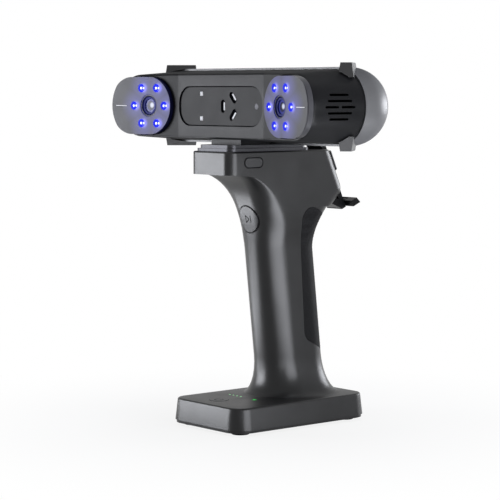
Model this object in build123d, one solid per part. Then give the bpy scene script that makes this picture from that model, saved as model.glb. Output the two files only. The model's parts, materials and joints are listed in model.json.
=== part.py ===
from build123d import *
import os
from math import atan, cos, degrees, radians, sin, sqrt, tan

# Handheld three-d scanner: a two-eyed scanning head on a pistol-grip handle with
# a flat base and a sprung phone clamp behind the neck. Millimetres, +Z up, +Y to
# the rear, origin on the floor under the middle of the base.

# Clearances shared by all pieces
overrun = 3.0
slide_gap = 0.4
seat_gap = 0.15

# Eyes
lens_offset = 24.9
lens_plane_y = -53.0
toe_in_deg = 10.5
plate_margin = 3.05
plate_reach = 16.5
plate_bevel = 0.7
moat_gap = 0.8
plate_tail = 1.6
plug_reach = 11.0
tab_wall = 1.6
lens_bore = 16.1
led_ring = 28.9
led_bore = 6.0
led_count = 6
led_sink = 0.8
led_step_deg = 360 / led_count
barrel_wall = 1.1
barrel_sink = 0.9
lens_sink = 2.2
lens_rim = 3.0
lens_crown = 1.6
led_board_thickness = 1.6

# Head front shell
plate_border = 1.5
nose_trim = 1.6
nose_drop = 6.4
front_rim_trim = 1.4
front_rim_drop = 2.8
nose_reach = 14.0
facet_setback = 7.4
facet_deg = 8.3
panel_border = 1.2
crease_round = 12.0
front_round = 1.4
shell_wall = 2.2
post_radius = 2.6
post_offset = 2.4
post_inset = 5.4
bench_screw_radius = 1.25

# Head rear shell
end_reach = 36.5
rim_setback = 44.0
rim_groove = 0.6
head_depth = 78.6
rear_round = 25.0
tongue_depth = 4.0
tongue_wall = 1.3
ear_length = 21.0
ear_width = 7.6
ear_rise = 2.8
ear_sink = 7.0
ear_draft = 1.5
ear_offset = 18.4
ear_setback = 44.3
ear_turn_deg = 130.0

# Cooling slots in both ends of the front shell
vent_length = 26.0
vent_height = 1.55
vent_pitch = 4.0
vent_setback = 22.0
vent_bridge = 2.3
vent_length_shares = (0.64, 0.81, 1.0, 0.81, 0.64)

# Centre panel and what it carries
panel_width = 90.8
panel_height = 27.6
panel_corner = 12.0
panel_sink = 1.0
panel_thickness = 2.0
panel_lip = 1.8
fill_led_size = 3.2
fill_led_x = -21.4
fill_led_z = 8.6
fill_board_depth = 1.6
fill_board_margin = 3.0
laser_x = 9.3
laser_ring = 7.0
laser_place_degs = (180.0, 57.0, -57.0)
laser_turn_degs = (90.0, 130.0, 50.0)
laser_length = 9.2
laser_width = 4.3
laser_sink = 0.7
laser_radius = 4.6
sensor_inset = 7.4
sensor_diameter = 4.1
sensor_radius = 5.0

# Optical bench, boards and cooling inside the head
bench_depth = 22.0
bench_thickness = 4.0
bench_height = 29.0
bench_reach = 12.5
standoff_length = 5.0
standoff_radius = 2.4
standoff_x = 36.0
standoff_z = 11.0
board_thickness = 1.6
board_width = 84.0
board_height = 33.0
sink_width = 56.0
sink_height = 30.0
sink_base = 2.5
fin_thickness = 1.4
fin_length = 12.0
fin_count = 9
port_width = 9.0
port_height = 3.3
port_wall = 0.5
port_depth = 7.0
port_block_width = 13.0
port_block_height = 8.0
head_port_x = -34.0

# Quick-release mount under the head
mount_plate_width = 36.0
mount_plate_length = 70.0
mount_plate_thickness = 2.4
mount_plate_setback = 2.4
shoe_thickness = 2.0
shoe_margin = 1.6
mount_corner = 5.0
dovetail_width = 20.0
dovetail_deg = 30.0
pad_width = 32.0
pad_front_setback = 13.0
pad_rear_setback = 39.5
insert_setback = 27.0
insert_radius = 5.0
insert_length = 7.0
insert_wall = 3.0
mount_thread = 6.35
mount_screw_head = 12.0
mount_screw_head_height = 1.5
mount_screw_reach = 7.5

# Neck of the handle
neck_spread = 3.5
neck_front_y = -55.0
neck_front_drop = 16.0
neck_front_corner = 7.0
neck_rear_corner = 9.0
neck_top_round = 1.2
neck_bulge_round = 9.0
handle_wall = 2.6
crease_drop = 42.5
crease_rear_y = 5.0
bulge_foot_y = 45.5
bulge_foot_drop = 38.5
bulge_slope_deg = 45.0
neck_floor_drop = 40.0
neck_floor_y = 37.0

# Grip
grip_side_spare = 9.3
grip_end_spare = 6.5
grip_flat = 1.1
grip_mid_y = 12.55
grip_mid_drop = 109.0
grip_lean_deg = 6.36
scoop_reach = 32.0
scoop_height = 46.0
scoop_top_drop = 15.6
back_flare_radius = 46.0
back_flare_drop = 69.5
side_flare_height = 28.7
foot_flare_reach = 12.5
foot_flare_height = 28.0
foot_shares = (0.0, 0.03, 0.09, 0.18, 0.3, 0.45, 0.63, 0.82, 1.0)
scoop_end_share = 0.985
top_shares = (
    0.0, 0.06, 0.12, 0.19, 0.26, 0.33, 0.4, 0.47, 0.54, 0.6,
    0.66, 0.72, 0.78, 0.83, 0.88, 0.92, 0.96, 0.98, 1.0,
)

# Base
base_spread = 15.0
base_length = 119.5
base_corner = 13.0
base_top_z = 19.2
base_draft = 2.0
base_round = 1.4
base_wall = 2.4
foot_height = 2.0
foot_radius = 6.5
foot_inset = 13.0
foot_chamfer = 0.6
cover_thickness = 2.0
cover_inset = 0.8

# Controls
trigger_diameter = 18.4
trigger_rise = 24.9
trigger_drop = 48.1
trigger_proud = 0.5
trigger_travel = 1.2
trigger_flange = 1.4
trigger_flange_reach = 1.6
trigger_cap_depth = 5.4
trigger_stem_length = 2.0
trigger_stem_radius = 2.5
switch_height = 3.5
switch_size = 6.2
switch_board_height = 24.0
key_length = 15.4
key_height = 6.0
key_y = -33.4
key_drop = 7.6
key_proud = 0.2
key_travel = 2.0
key_flange = 1.4
key_flange_reach = 1.2
key_stem_radius = 1.8
key_stem_spare = 4.0
key_spring_radius = 2.9
latch_thickness = 2.0
latch_length = 9.0
latch_height = 7.0
power_diameter = 13.0
power_x = -5.0
power_setback = 17.25
power_travel = 0.8
power_flange = 1.2
power_flange_reach = 1.2
power_proud = 0.15
light_setback = 21.0
light_x = -18.6
light_pitch = 4.1
light_count = 4
light_diameter = 1.3
charge_light_x = 10.8
charge_light_step = 2.0
charge_light_diameter = 2.0

# Grip pad
pad_depth = 1.4
pad_gap = 0.25
pad_front_y = 15.7
pad_lean_deg = 3.4
pad_slant_deg = 26.0
pad_top_drop = 34.5
pad_rise = 8.5
pad_corner = 9.0

# Power pack and boards in the handle
cell_diameter = 18.4
cell_length = 65.0
cell_gap = 0.6
holder_wall = 2.0
holder_rise = 4.3
cavity_gap = 0.3
holder_gap = 0.6
control_board_length = 46.0
control_board_width = 30.0
control_board_y = 8.0
control_board_drop = 9.0
control_post_radius = 2.4
base_board_width = 40.0
base_board_margin = 5.75
base_board_post_radius = 2.6
base_board_z = 8.4
handle_screw_radius = 1.5
handle_screw_head = 2.8
handle_screw_head_height = 1.8
handle_boss_radius = 3.2
screw_sink = 5.0
base_screw_radius = 1.3
base_screw_head = 2.5
base_screw_head_height = 1.2
base_screw_reach = 7.0

# Phone clamp
clamp_tilt_deg = 24.0
clamp_y = 63.8
clamp_drop = 37.7
stem_width = 16.0
stem_depth = 4.0
stem_length = 56.0
stem_wall = 0.9
stem_foot = 5.0
neck_offset = 5.4
carrier_width = 32.0
carrier_recess = 2.2
carrier_bottom = 27.0
carrier_length = 15.0
carrier_round = 2.0
carrier_screw_x = 12.0
jaw_width = 32.0
jaw_depth = 7.8
jaw_thickness = 4.6
jaw_opening = 60.0
jaw_travel = 18.0
jaw_round = 1.0
tongue_hold = 22.0
lip_front = 0.5
lip_pin_y = 2.8
lip_pin_radius = 0.9
jaw_pad_depth = 1.0
jaw_hook = 1.6
lip_bevel = 2.0
pin_gap = 0.05
tongue_gap = 0.2
spring_radius = 0.9
brace_start = 1.6
brace_end = 7.2

# Worked-out sizes and places: the head grows out from its panel and lamp rings
toe_slope = tan(radians(toe_in_deg))
facet_slope = tan(radians(facet_deg))
crease_x = panel_width / 2 + panel_border
lens_x = crease_x + lens_offset
sensor_x = panel_width / 2 - sensor_inset
post_x = crease_x + post_offset
ear_x = lens_x + ear_offset
bench_half_width = lens_x + bench_reach
rim_width = 2 * (lens_x + end_reach)
front_rim_width = rim_width - front_rim_trim
nose_width = front_rim_width - nose_trim
plate_height = led_ring + led_bore + 2 * plate_margin
nose_height = plate_height + 2 * plate_border
front_rim_height = nose_height + nose_drop
rim_height = front_rim_height + front_rim_drop
post_z = nose_height / 2 - post_inset
front_y = lens_plane_y + facet_setback
rim_y = lens_plane_y + rim_setback
head_rear_y = lens_plane_y + head_depth

# The handle grows out from its cells, and the head stands on it
grip_width = cell_diameter + 2 * grip_side_spare
grip_depth = 2 * cell_diameter + cell_gap + 2 * grip_end_spare
grip_half = grip_width / 2
grip_corner = grip_half - grip_flat
neck_width = grip_width + 2 * neck_spread
neck_half = neck_width / 2
base_width = neck_width + 2 * base_spread
base_bottom_z = foot_height
base_board_length = base_length - 2 * base_board_margin
power_y = power_setback - base_length / 2
light_y = power_y + light_setback
charge_light_y = light_y - charge_light_step
holder_low_z = base_top_z + foot_flare_height + holder_rise
holder_mid_z = holder_low_z + holder_wall + cell_length / 2
holder_top_z = holder_mid_z + cell_length / 2 + holder_wall
trigger_z = holder_top_z + trigger_rise
neck_top_z = trigger_z + trigger_drop
shoe_top_z = neck_top_z + shoe_thickness
head_bottom_z = shoe_top_z + mount_plate_thickness
lens_height = head_bottom_z + rim_height / 2
grip_mid_z = neck_top_z - grip_mid_drop
back_flare_z = neck_top_z - back_flare_drop
pad_top_z = neck_top_z - pad_top_drop
pad_bottom_z = holder_low_z + pad_rise
clamp_z = neck_top_z - clamp_drop
lean_slope = tan(radians(grip_lean_deg))
dovetail_slope = tan(radians(dovetail_deg))
scoop_top_z = neck_top_z - scoop_top_drop
scoop_start_z = scoop_top_z - scoop_height
clamp_plane = Plane(
    origin=(0, clamp_y, clamp_z),
    x_dir=(1, 0, 0),
    z_dir=(0, -sin(radians(clamp_tilt_deg)), cos(radians(clamp_tilt_deg))),
)
right_eye = Plane(
    origin=(lens_x, lens_plane_y, lens_height),
    x_dir=(cos(radians(toe_in_deg)), -sin(radians(toe_in_deg)), 0),
    z_dir=(-sin(radians(toe_in_deg)), -cos(radians(toe_in_deg)), 0),
)
key_stem_length = key_travel + key_stem_spare
plate_end_x = lens_x + plate_reach + plate_height / 2
parts = {}


# Shared shapes
def block(x_span, y_span, z_span):
    centre = [(span[0] + span[1]) / 2 for span in (x_span, y_span, z_span)]
    sizes = [span[1] - span[0] for span in (x_span, y_span, z_span)]
    return Pos(*centre) * Box(*sizes)


def rod(radius, start, end):
    path = Vector(*end) - Vector(*start)
    plane = Plane(origin=start, z_dir=path.normalized())
    return plane * Cylinder(radius, path.length, align=(Align.CENTER, Align.CENTER, Align.MIN))


def both_sides(shape):
    return [shape, mirror(shape, about=Plane.YZ)]


def facing_front(y):
    return Plane(origin=(0, y, lens_height), x_dir=(1, 0, 0), z_dir=(0, -1, 0))


def stadium(width, height, y):
    return facing_front(y) * SlotOverall(width, height)


def facet_y(x, depth):
    return front_y + depth - max(0, abs(x) - crease_x) * facet_slope


def facet_band(half_width, near_depth, far_depth, height):
    xs = (-half_width, -crease_x, crease_x, half_width)
    near = [(x, facet_y(x, near_depth)) for x in xs]
    far = [(x, facet_y(x, far_depth)) for x in reversed(xs)]
    face = make_face(Polyline(*near, *far, close=True))
    return extrude(Pos(0, 0, lens_height) * face, amount=height / 2, both=True)


def in_eye(depth):
    return right_eye.offset(-depth)


def eye_slot(margin, start_depth, end_depth):
    outline = Pos(plate_reach / 2, 0) * SlotCenterToCenter(plate_reach, plate_height + 2 * margin)
    return extrude(in_eye(end_depth) * outline, amount=end_depth - start_depth)


def eye_plug(margin, start_depth, end_depth):
    outline = Pos(plate_reach / 2, 0) * SlotCenterToCenter(plate_reach, plate_height + 2 * margin)
    inner_end = Pos(plug_reach + margin - plate_height, 0) * Rectangle(2 * plate_height, 2 * plate_height)
    tab_end = (led_ring + led_bore) / 2 + tab_wall + margin
    tab = Pos(tab_end / 2, 0) * Rectangle(tab_end, led_bore + 2 * (tab_wall + margin))
    return extrude(in_eye(end_depth) * ((outline & inner_end) + tab), amount=end_depth - start_depth)


def eye_cylinder(radius, start_depth, end_depth):
    return extrude(in_eye(end_depth) * Circle(radius), amount=end_depth - start_depth)


def facet_depth(x):
    plate_y = lens_plane_y - (x - lens_x) * toe_slope
    return (facet_y(x, 0) - plate_y) * cos(radians(toe_in_deg))


def plate_depth():
    return facet_depth(plate_end_x) + shell_wall + plate_tail


def led_places():
    return [Rot(0, 0, led_step_deg * i) * Pos(led_ring / 2, 0) for i in range(led_count)]


# Head shells
def front_section(setback, inset):
    share = setback / rim_setback
    width = nose_width + (front_rim_width - nose_width) * share
    height = nose_height + (front_rim_height - nose_height) * share
    return stadium(width - 2 * inset, height - 2 * inset, lens_plane_y + setback)


def front_loft(inset, rear_setback):
    return loft([front_section(-nose_reach, inset), front_section(rear_setback, inset)])


def panel_outline(margin):
    return RectangleRounded(panel_width + 2 * margin, panel_height + 2 * margin, panel_corner + margin)


def vent_slots():
    slots = []
    middle = (len(vent_length_shares) - 1) / 2
    for row, share in enumerate(vent_length_shares):
        length = vent_length * share
        z = lens_height + (middle - row) * vent_pitch
        origin = (nose_width / 2 + overrun, lens_plane_y + vent_setback, z)
        plane = Plane(origin=origin, x_dir=(0, 1, 0), z_dir=(1, 0, 0))
        if row == middle:
            half = (length - vent_bridge) / 2
            shift = (half + vent_bridge) / 2
            outlines = [Pos(side * shift, 0) * SlotOverall(half, vent_height) for side in (-1, 1)]
        else:
            outlines = [SlotOverall(length, vent_height)]
        for outline in outlines:
            slots += both_sides(extrude(plane * outline, amount=-shell_wall * 2 - overrun))
    return slots


def head_front_shell():
    reach = rim_width
    depth = rim_setback + nose_reach + overrun
    shell = front_loft(0, rim_setback - rim_groove)
    shell -= facet_band(reach, -depth, 0, rim_height)
    creases = [e for e in shell.edges().filter_by(Axis.Z) if abs(e.center().Y - front_y) < seat_gap]
    shell = fillet(creases, crease_round)
    facets = [f for f in shell.faces() if f.normal_at().Y < -cos(radians(2 * facet_deg))]
    outline = [e for f in facets for e in f.edges() if abs(e.center().Z - lens_height) > seat_gap]
    ends = [e for f in facets for e in f.edges() if abs(e.center().X) > lens_x + plate_reach]
    shell = fillet(ShapeList(outline + ends), front_round)
    hollow = front_loft(shell_wall, rim_setback)
    hollow -= facet_band(reach, -depth, shell_wall, rim_height)
    mount_y = lens_plane_y + insert_setback
    mount_pad = block(
        (-pad_width / 2, pad_width / 2),
        (lens_plane_y + pad_front_setback, lens_plane_y + pad_rear_setback),
        (head_bottom_z, lens_height - nose_height / 2),
    )
    insert_top = head_bottom_z + insert_length
    boss_top = insert_top + insert_wall
    mount_boss = rod(insert_radius + insert_wall, (0, mount_y, head_bottom_z), (0, mount_y, boss_top))
    posts = []
    for x in (-post_x, post_x):
        for z in (lens_height - post_z, lens_height + post_z):
            tip = (x, facet_y(x, bench_depth), z)
            post = rod(post_radius, (x, facet_y(x, shell_wall / 2), z), tip)
            posts.append(post - rod(bench_screw_radius, (x, facet_y(x, shell_wall * 2), z), tip))
    post_tips = facet_band(reach, bench_depth, rim_height, rim_height)
    shell = shell - hollow + mount_pad + mount_boss + (Part() + posts - post_tips)
    shell -= rod(insert_radius, (0, mount_y, head_bottom_z - overrun), (0, mount_y, insert_top))
    for opening in both_sides(eye_plug(moat_gap, -overrun, plate_depth())):
        shell -= opening
    panel_cut = extrude(facing_front(front_y) * panel_outline(seat_gap), amount=overrun, both=True)
    shell -= panel_cut
    for slot in vent_slots():
        shell -= slot
    return shell


def dome(inset, front_setback):
    length = head_depth - inset - front_setback
    face = stadium(rim_width - 2 * inset, rim_height - 2 * inset, lens_plane_y + front_setback)
    solid = extrude(face, amount=-length)
    return fillet(solid.faces().sort_by(Axis.Y)[-1].edges(), rear_round - inset)


def ear():
    base = Plane(
        origin=(ear_x, lens_plane_y + ear_setback, lens_height + rim_height / 2 - ear_sink),
        x_dir=(cos(radians(ear_turn_deg)), sin(radians(ear_turn_deg)), 0),
        z_dir=(0, 0, 1),
    )
    top = base.offset(ear_sink + ear_rise)
    foot = base * Rectangle(ear_length + 2 * ear_draft, ear_width + 2 * ear_draft)
    return loft([foot, top * Rectangle(ear_length, ear_width)])


def head_rear_shell():
    shell = dome(0, rim_setback)
    ahead = extrude(stadium(rim_width, rim_height, rim_y), amount=rim_setback)
    for one in both_sides(ear()):
        shell += one - ahead
        shell += mirror(one - ahead, about=Plane.XY.offset(lens_height))
    shell -= dome(shell_wall, rim_setback - overrun)
    outer = front_section(rim_setback - tongue_depth, shell_wall + seat_gap)
    inner = front_section(rim_setback - tongue_depth, shell_wall + seat_gap + tongue_wall)
    reach = tongue_depth + shell_wall
    step = extrude(stadium(rim_width - shell_wall, rim_height - shell_wall, rim_y), amount=-shell_wall)
    shell += extrude(outer, amount=-reach) + step - extrude(inner, amount=-reach)
    port = facing_front(head_rear_y) * Pos(head_port_x, 0) * SlotOverall(port_width, port_height)
    shell -= extrude(port, amount=shell_wall * 2, both=True)
    return shell


def centre_panel():
    plane = facing_front(front_y + panel_sink)
    panel = extrude(plane * panel_outline(0), amount=-(shell_wall - panel_sink))
    back = facing_front(front_y + shell_wall)
    panel += extrude(back * panel_outline(panel_lip), amount=-(panel_thickness - panel_sink / 2))
    for outline in panel_holes(0):
        panel -= extrude(plane * outline, amount=rim_setback / 2, both=True)
    return panel


def panel_holes(inset):
    holes = []
    for z in (-fill_led_z, fill_led_z):
        size = fill_led_size - 2 * inset
        holes.append(Pos(fill_led_x, z) * Rectangle(size, size))
    for place, turn in zip(laser_place_degs, laser_turn_degs):
        x = laser_x + laser_ring * cos(radians(place))
        z = laser_ring * sin(radians(place))
        outline = SlotOverall(laser_length - 2 * inset, laser_width - 2 * inset)
        holes.append(Pos(x, z) * Rot(0, 0, turn) * outline)
    holes.append(Pos(sensor_x, 0) * Circle(sensor_diameter / 2 - inset))
    return holes


def panel_windows():
    panel_back = facet_y(0, shell_wall + panel_thickness - panel_sink / 2)
    outlines = panel_holes(seat_gap)
    fill_front = facing_front(front_y + panel_sink)
    laser_front = facing_front(front_y + panel_sink + laser_sink)
    back_length = panel_back - front_y - panel_sink
    fills = [extrude(fill_front * one, amount=-back_length) for one in outlines[:2]]
    lasers = [extrude(laser_front * one, amount=-(back_length - laser_sink)) for one in outlines[2:5]]
    sensor = extrude(fill_front * outlines[5], amount=-back_length)
    parts["fill_lights"] = Compound(children=fills)
    parts["laser_windows"] = Compound(children=lasers)
    parts["colour_camera_window"] = sensor
    bench_face = front_y + bench_depth
    modules = []
    for place in laser_place_degs:
        x = laser_x + laser_ring * cos(radians(place))
        z = lens_height + laser_ring * sin(radians(place))
        modules.append(rod(laser_radius, (x, panel_back, z), (x, bench_face, z)))
    parts["laser_modules"] = Compound(children=modules)
    camera_ends = [(sensor_x, y, lens_height) for y in (panel_back, bench_face)]
    parts["colour_camera"] = rod(sensor_radius, *camera_ends)
    fill_half = fill_led_z + fill_board_margin
    parts["fill_light_board"] = block(
        (fill_led_x - fill_board_margin, fill_led_x + fill_board_margin),
        (panel_back, panel_back + fill_board_depth),
        (lens_height - fill_half, lens_height + fill_half),
    )


def eye_pieces():
    plate_back = plate_depth()
    ends = extrude(stadium(front_rim_width, front_rim_height, rim_y), amount=2 * rim_setback)
    plate = eye_slot(0, 0, plate_back) & ends
    plate = chamfer(plate.faces().sort_by(Axis.Y)[0].edges(), plate_bevel)
    plate -= facet_band(rim_width, -slide_gap, rim_setback, rim_height)
    plate += eye_plug(0, 2 * plate_bevel, plate_back)
    plate -= eye_cylinder(lens_bore / 2, -overrun, plate_back + overrun)
    bores = [in_eye(0) * place * Circle(led_bore / 2) for place in led_places()]
    for bore in bores:
        plate -= extrude(bore, amount=plate_back + overrun, both=True)
    board_back = plate_back + led_board_thickness
    barrel_radius = lens_bore / 2 - seat_gap
    board = eye_slot(-plate_bevel, plate_back, board_back) & front_loft(shell_wall + seat_gap, rim_setback)
    board -= eye_cylinder(lens_bore / 2, 0, board_back + overrun)
    glass_back = lens_sink + lens_rim
    barrel = eye_cylinder(barrel_radius, barrel_sink, rim_setback)
    barrel -= facet_band(rim_width, bench_depth, rim_width, rim_height)
    barrel -= eye_cylinder(barrel_radius - barrel_wall, -overrun, glass_back)
    glass = eye_cylinder(barrel_radius - barrel_wall, lens_sink, glass_back)
    glass = fillet(glass.faces().sort_by(Axis.Y)[0].edges(), lens_crown)
    leds = []
    for place in led_places():
        outline = in_eye(plate_back) * place * Circle(led_bore / 2 - seat_gap)
        led = extrude(outline, amount=plate_back - led_sink)
        leds.append(fillet(led.faces().sort_by(Axis.Y)[0].edges(), led_bore / 3))
    pieces = {
        "eye_plate": plate,
        "eye_led_board": board,
        "lens_barrel": barrel,
        "lens": glass,
    }
    for name, piece in pieces.items():
        parts["right_" + name], parts["left_" + name] = both_sides(piece)
    parts["right_eye_leds"] = Compound(children=leds)
    parts["left_eye_leds"] = Compound(children=[mirror(led, about=Plane.YZ) for led in leds])


def head_inside():
    bench_back = bench_depth + bench_thickness
    bench = facet_band(bench_half_width, bench_depth, bench_back, bench_height)
    lugs = []
    screws = []
    for x in (-post_x, post_x):
        for z in (lens_height - post_z, lens_height + post_z):
            face_y = facet_y(x, bench_back)
            lugs.append(rod(post_radius, (x, facet_y(x, bench_depth), z), (x, face_y, z)))
            shank = rod(bench_screw_radius - seat_gap, (x, facet_y(x, bench_depth / 2), z), (x, face_y, z))
            head = rod(post_radius, (x, face_y, z), (x, face_y + bench_screw_radius, z))
            screws.append(shank + head)
    bench += lugs
    bench -= facet_band(rim_width, 0, bench_depth, rim_height)
    back_y = front_y + bench_back
    standoffs = []
    for x in (-standoff_x, standoff_x):
        for z in (lens_height - standoff_z, lens_height + standoff_z):
            standoffs.append(rod(standoff_radius, (x, back_y, z), (x, back_y + standoff_length, z)))
    bench += standoffs
    for x in (-post_x, post_x):
        for z in (lens_height - post_z, lens_height + post_z):
            bench -= rod(bench_screw_radius, (x, front_y, z), (x, front_y + rim_height, z))
            bench -= rod(post_radius, (x, facet_y(x, bench_back), z), (x, front_y + rim_height, z))
    parts["optical_bench"] = bench
    parts["bench_screws"] = Compound(children=screws)
    board_y = back_y + standoff_length
    parts["head_main_board"] = block(
        (-board_width / 2, board_width / 2),
        (board_y, board_y + board_thickness),
        (lens_height - board_height / 2, lens_height + board_height / 2),
    )
    sink_y = board_y + board_thickness
    sink = block(
        (-sink_width / 2 + port_block_width, sink_width / 2 + port_block_width),
        (sink_y, sink_y + sink_base),
        (lens_height - sink_height / 2, lens_height + sink_height / 2),
    )
    pitch = (sink_width - fin_thickness) / (fin_count - 1)
    for i in range(fin_count):
        x = port_block_width - sink_width / 2 + pitch * i
        sink += block(
            (x, x + fin_thickness),
            (sink_y, sink_y + sink_base + fin_length),
            (lens_height - sink_height / 2, lens_height + sink_height / 2),
        )
    parts["heat_sink"] = sink
    port_plane = facing_front(head_rear_y - shell_wall / 2)
    outline = SlotOverall(port_width - 2 * seat_gap, port_height - 2 * seat_gap)
    port = extrude(port_plane * Pos(head_port_x, 0) * outline, amount=port_depth)
    port += block(
        (head_port_x - port_block_width / 2, head_port_x + port_block_width / 2),
        (sink_y, head_rear_y - shell_wall - port_depth / 2),
        (lens_height - port_block_height / 2, lens_height + port_block_height / 2),
    )
    margin = 2 * (seat_gap + port_wall)
    mouth = port_plane * Pos(head_port_x, 0) * SlotOverall(port_width - margin, port_height - margin)
    parts["head_usb_port"] = port - extrude(mouth, amount=port_depth)


# Quick-release mount between head and neck
def mount_rectangle(margin, z):
    length = mount_plate_length + 2 * margin
    y = lens_plane_y + mount_plate_setback + mount_plate_length / 2
    outline = RectangleRounded(mount_plate_width + 2 * margin, length, mount_corner)
    return Pos(0, y, z) * outline


def dovetail(margin, over, depth):
    top_half = dovetail_width / 2 + margin - over * dovetail_slope
    low_half = dovetail_width / 2 + margin + depth * dovetail_slope
    top = shoe_top_z + over
    low = shoe_top_z - depth
    front = lens_plane_y + mount_plate_setback
    points = [(-top_half, top), (top_half, top), (low_half, low), (-low_half, low)]
    face = make_face(Polyline(*points, close=True))
    plane = Plane(origin=(0, front, 0), x_dir=(1, 0, 0), z_dir=(0, -1, 0))
    return extrude(plane * face, amount=-mount_plate_length)


def mount_pieces():
    mount_y = lens_plane_y + insert_setback
    plate = extrude(mount_rectangle(0, shoe_top_z), amount=mount_plate_thickness)
    plate += dovetail(0, 0, shoe_thickness - slide_gap)
    low_z = shoe_top_z - shoe_thickness
    plate -= rod(mount_thread / 2 + seat_gap, (0, mount_y, low_z), (0, mount_y, head_bottom_z + overrun))
    recess_top = shoe_top_z - shoe_thickness + slide_gap + mount_screw_head_height
    plate -= rod(mount_screw_head / 2 + seat_gap, (0, mount_y, low_z), (0, mount_y, recess_top))
    parts["quick_release_plate"] = plate
    screw = rod(mount_thread / 2, (0, mount_y, recess_top), (0, mount_y, recess_top + mount_screw_reach))
    screw_low = recess_top - mount_screw_head_height
    screw += rod(mount_screw_head / 2, (0, mount_y, screw_low), (0, mount_y, recess_top))
    slot_depth = mount_screw_head_height / 2
    screw -= block(
        (-mount_screw_head, mount_screw_head),
        (mount_y - slot_depth, mount_y + slot_depth),
        (low_z, recess_top - slot_depth),
    )
    parts["mount_screw"] = screw
    insert_top = head_bottom_z + insert_length
    insert = rod(insert_radius - seat_gap, (0, mount_y, head_bottom_z), (0, mount_y, insert_top))
    insert -= rod(mount_thread / 2 + seat_gap, (0, mount_y, low_z), (0, mount_y, lens_height))
    parts["thread_insert"] = insert
    shoe = extrude(mount_rectangle(shoe_margin, neck_top_z), amount=shoe_thickness)
    shoe -= dovetail(seat_gap, seat_gap, shoe_thickness + seat_gap)
    shoe_screws = []
    seat = shoe_top_z - base_screw_head_height
    for x, y in shoe_screw_places():
        shoe -= rod(base_screw_head + seat_gap, (x, y, seat), (x, y, shoe_top_z + overrun))
        shoe -= rod(base_screw_radius + seat_gap, (x, y, low_z - overrun), (x, y, shoe_top_z))
        shank = rod(base_screw_radius, (x, y, neck_top_z - handle_wall), (x, y, seat))
        shoe_screws.append(shank + rod(base_screw_head, (x, y, seat), (x, y, shoe_top_z - seat_gap)))
    parts["shoe_plate"] = shoe
    parts["shoe_screws"] = Compound(children=shoe_screws)


# Handle
def grip_line(z):
    return grip_mid_y + (grip_mid_z - z) * lean_slope


def rise(z, start, span):
    return min(1, max(0, (z - start) / span))


def grip_section(z, inset, foot):
    front = grip_line(min(z, scoop_start_z)) - grip_depth / 2
    front -= scoop_reach * (1 - sqrt(1 - rise(z, scoop_start_z, scoop_height) ** 2))
    back = grip_line(min(z, back_flare_z)) + grip_depth / 2
    climb = min(max(0, z - back_flare_z), neck_top_z - bulge_foot_drop - back_flare_z)
    back += back_flare_radius - sqrt(back_flare_radius**2 - climb**2)
    flare = rise(z, back_flare_z, side_flare_height)
    half = grip_half + (neck_half - grip_half) * flare**2 * (3 - 2 * flare)
    blend = rise(z, scoop_start_z, scoop_height) ** 3
    corner = grip_corner + (neck_front_corner - grip_corner) * blend
    spread = foot - inset
    outline = RectangleRounded(2 * (half + spread), back - front + 2 * spread, corner + spread)
    return Pos(0, (front + back) / 2, z) * outline


def grip_loft(inset):
    foot = []
    for share in foot_shares:
        reach = foot_flare_reach * (1 - sqrt(1 - (1 - share) ** 2))
        foot.append(grip_section(base_top_z + foot_flare_height * share, inset, reach))
    top = []
    for share in top_shares:
        z = back_flare_z + (scoop_start_z + scoop_height * scoop_end_share - back_flare_z) * share
        top.append(grip_section(z, inset, 0))
    return loft(foot + top, ruled=True)


def neck_rear_y(z, inset):
    offset = (neck_offset + inset) / cos(radians(clamp_tilt_deg))
    return clamp_y - offset - (z - clamp_z) * tan(radians(clamp_tilt_deg))


def neck_block(inset):
    top = neck_top_z - inset
    front = neck_front_y + inset
    low = neck_top_z - neck_front_drop + inset
    foot_y = bulge_foot_y - inset
    foot_z = neck_top_z - bulge_foot_drop + inset / 2
    slope = tan(radians(bulge_slope_deg))
    rear_slope = tan(radians(clamp_tilt_deg))
    bulge_z = foot_z + (neck_rear_y(foot_z, inset) - foot_y) / (slope + rear_slope)
    bulge = (foot_y + (bulge_z - foot_z) * slope, bulge_z)
    floor_z = neck_top_z - neck_floor_drop + inset
    crease_z = neck_top_z - crease_drop + inset
    crease = EllipticalCenterArc(
        (front, crease_z), crease_rear_y - inset - front, low - crease_z, start_angle=0, arc_size=90
    )
    outline = Polyline(
        crease @ 1, (front, top), (neck_rear_y(top, inset), top), bulge, (foot_y, foot_z),
        (neck_floor_y, floor_z), (crease_rear_y - inset, floor_z), crease @ 0,
    )
    face = make_face(outline.edges() + [crease])
    apex = face.vertices().sort_by_distance(bulge)[0]
    face = fillet(apex, neck_bulge_round - inset)
    solid = extrude(Plane.YZ * face, amount=neck_half - inset, both=True)
    front_edges = solid.edges().filter_by(Axis.Z).group_by(Axis.Y)[0]
    solid = fillet(front_edges, neck_front_corner - inset)
    side_edges = [
        e for e in solid.edges()
        if abs(abs(e.center().X) - neck_half + inset) < seat_gap and e.center().Y > neck_floor_y
        and e.center().Z > foot_z
        and abs(e.center().Z - top) > seat_gap
    ]
    solid = fillet(side_edges, neck_rear_corner - inset)
    if inset == 0:
        solid = fillet(solid.faces().sort_by(Axis.Z)[-1].edges(), neck_top_round)
    return solid


def base_block(inset):
    low = base_bottom_z
    top = base_top_z - inset
    draft = degrees(atan(base_draft / (base_top_z - base_bottom_z)))
    spread = 2 * (base_draft - inset)
    outline = RectangleRounded(base_width + spread, base_length + spread, base_corner - inset / 2)
    solid = extrude(Pos(0, 0, low) * outline, amount=top - low, taper=draft)
    if inset == 0:
        solid = fillet(solid.faces().sort_by(Axis.Z)[-1].edges(), base_round)
    return solid


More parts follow.
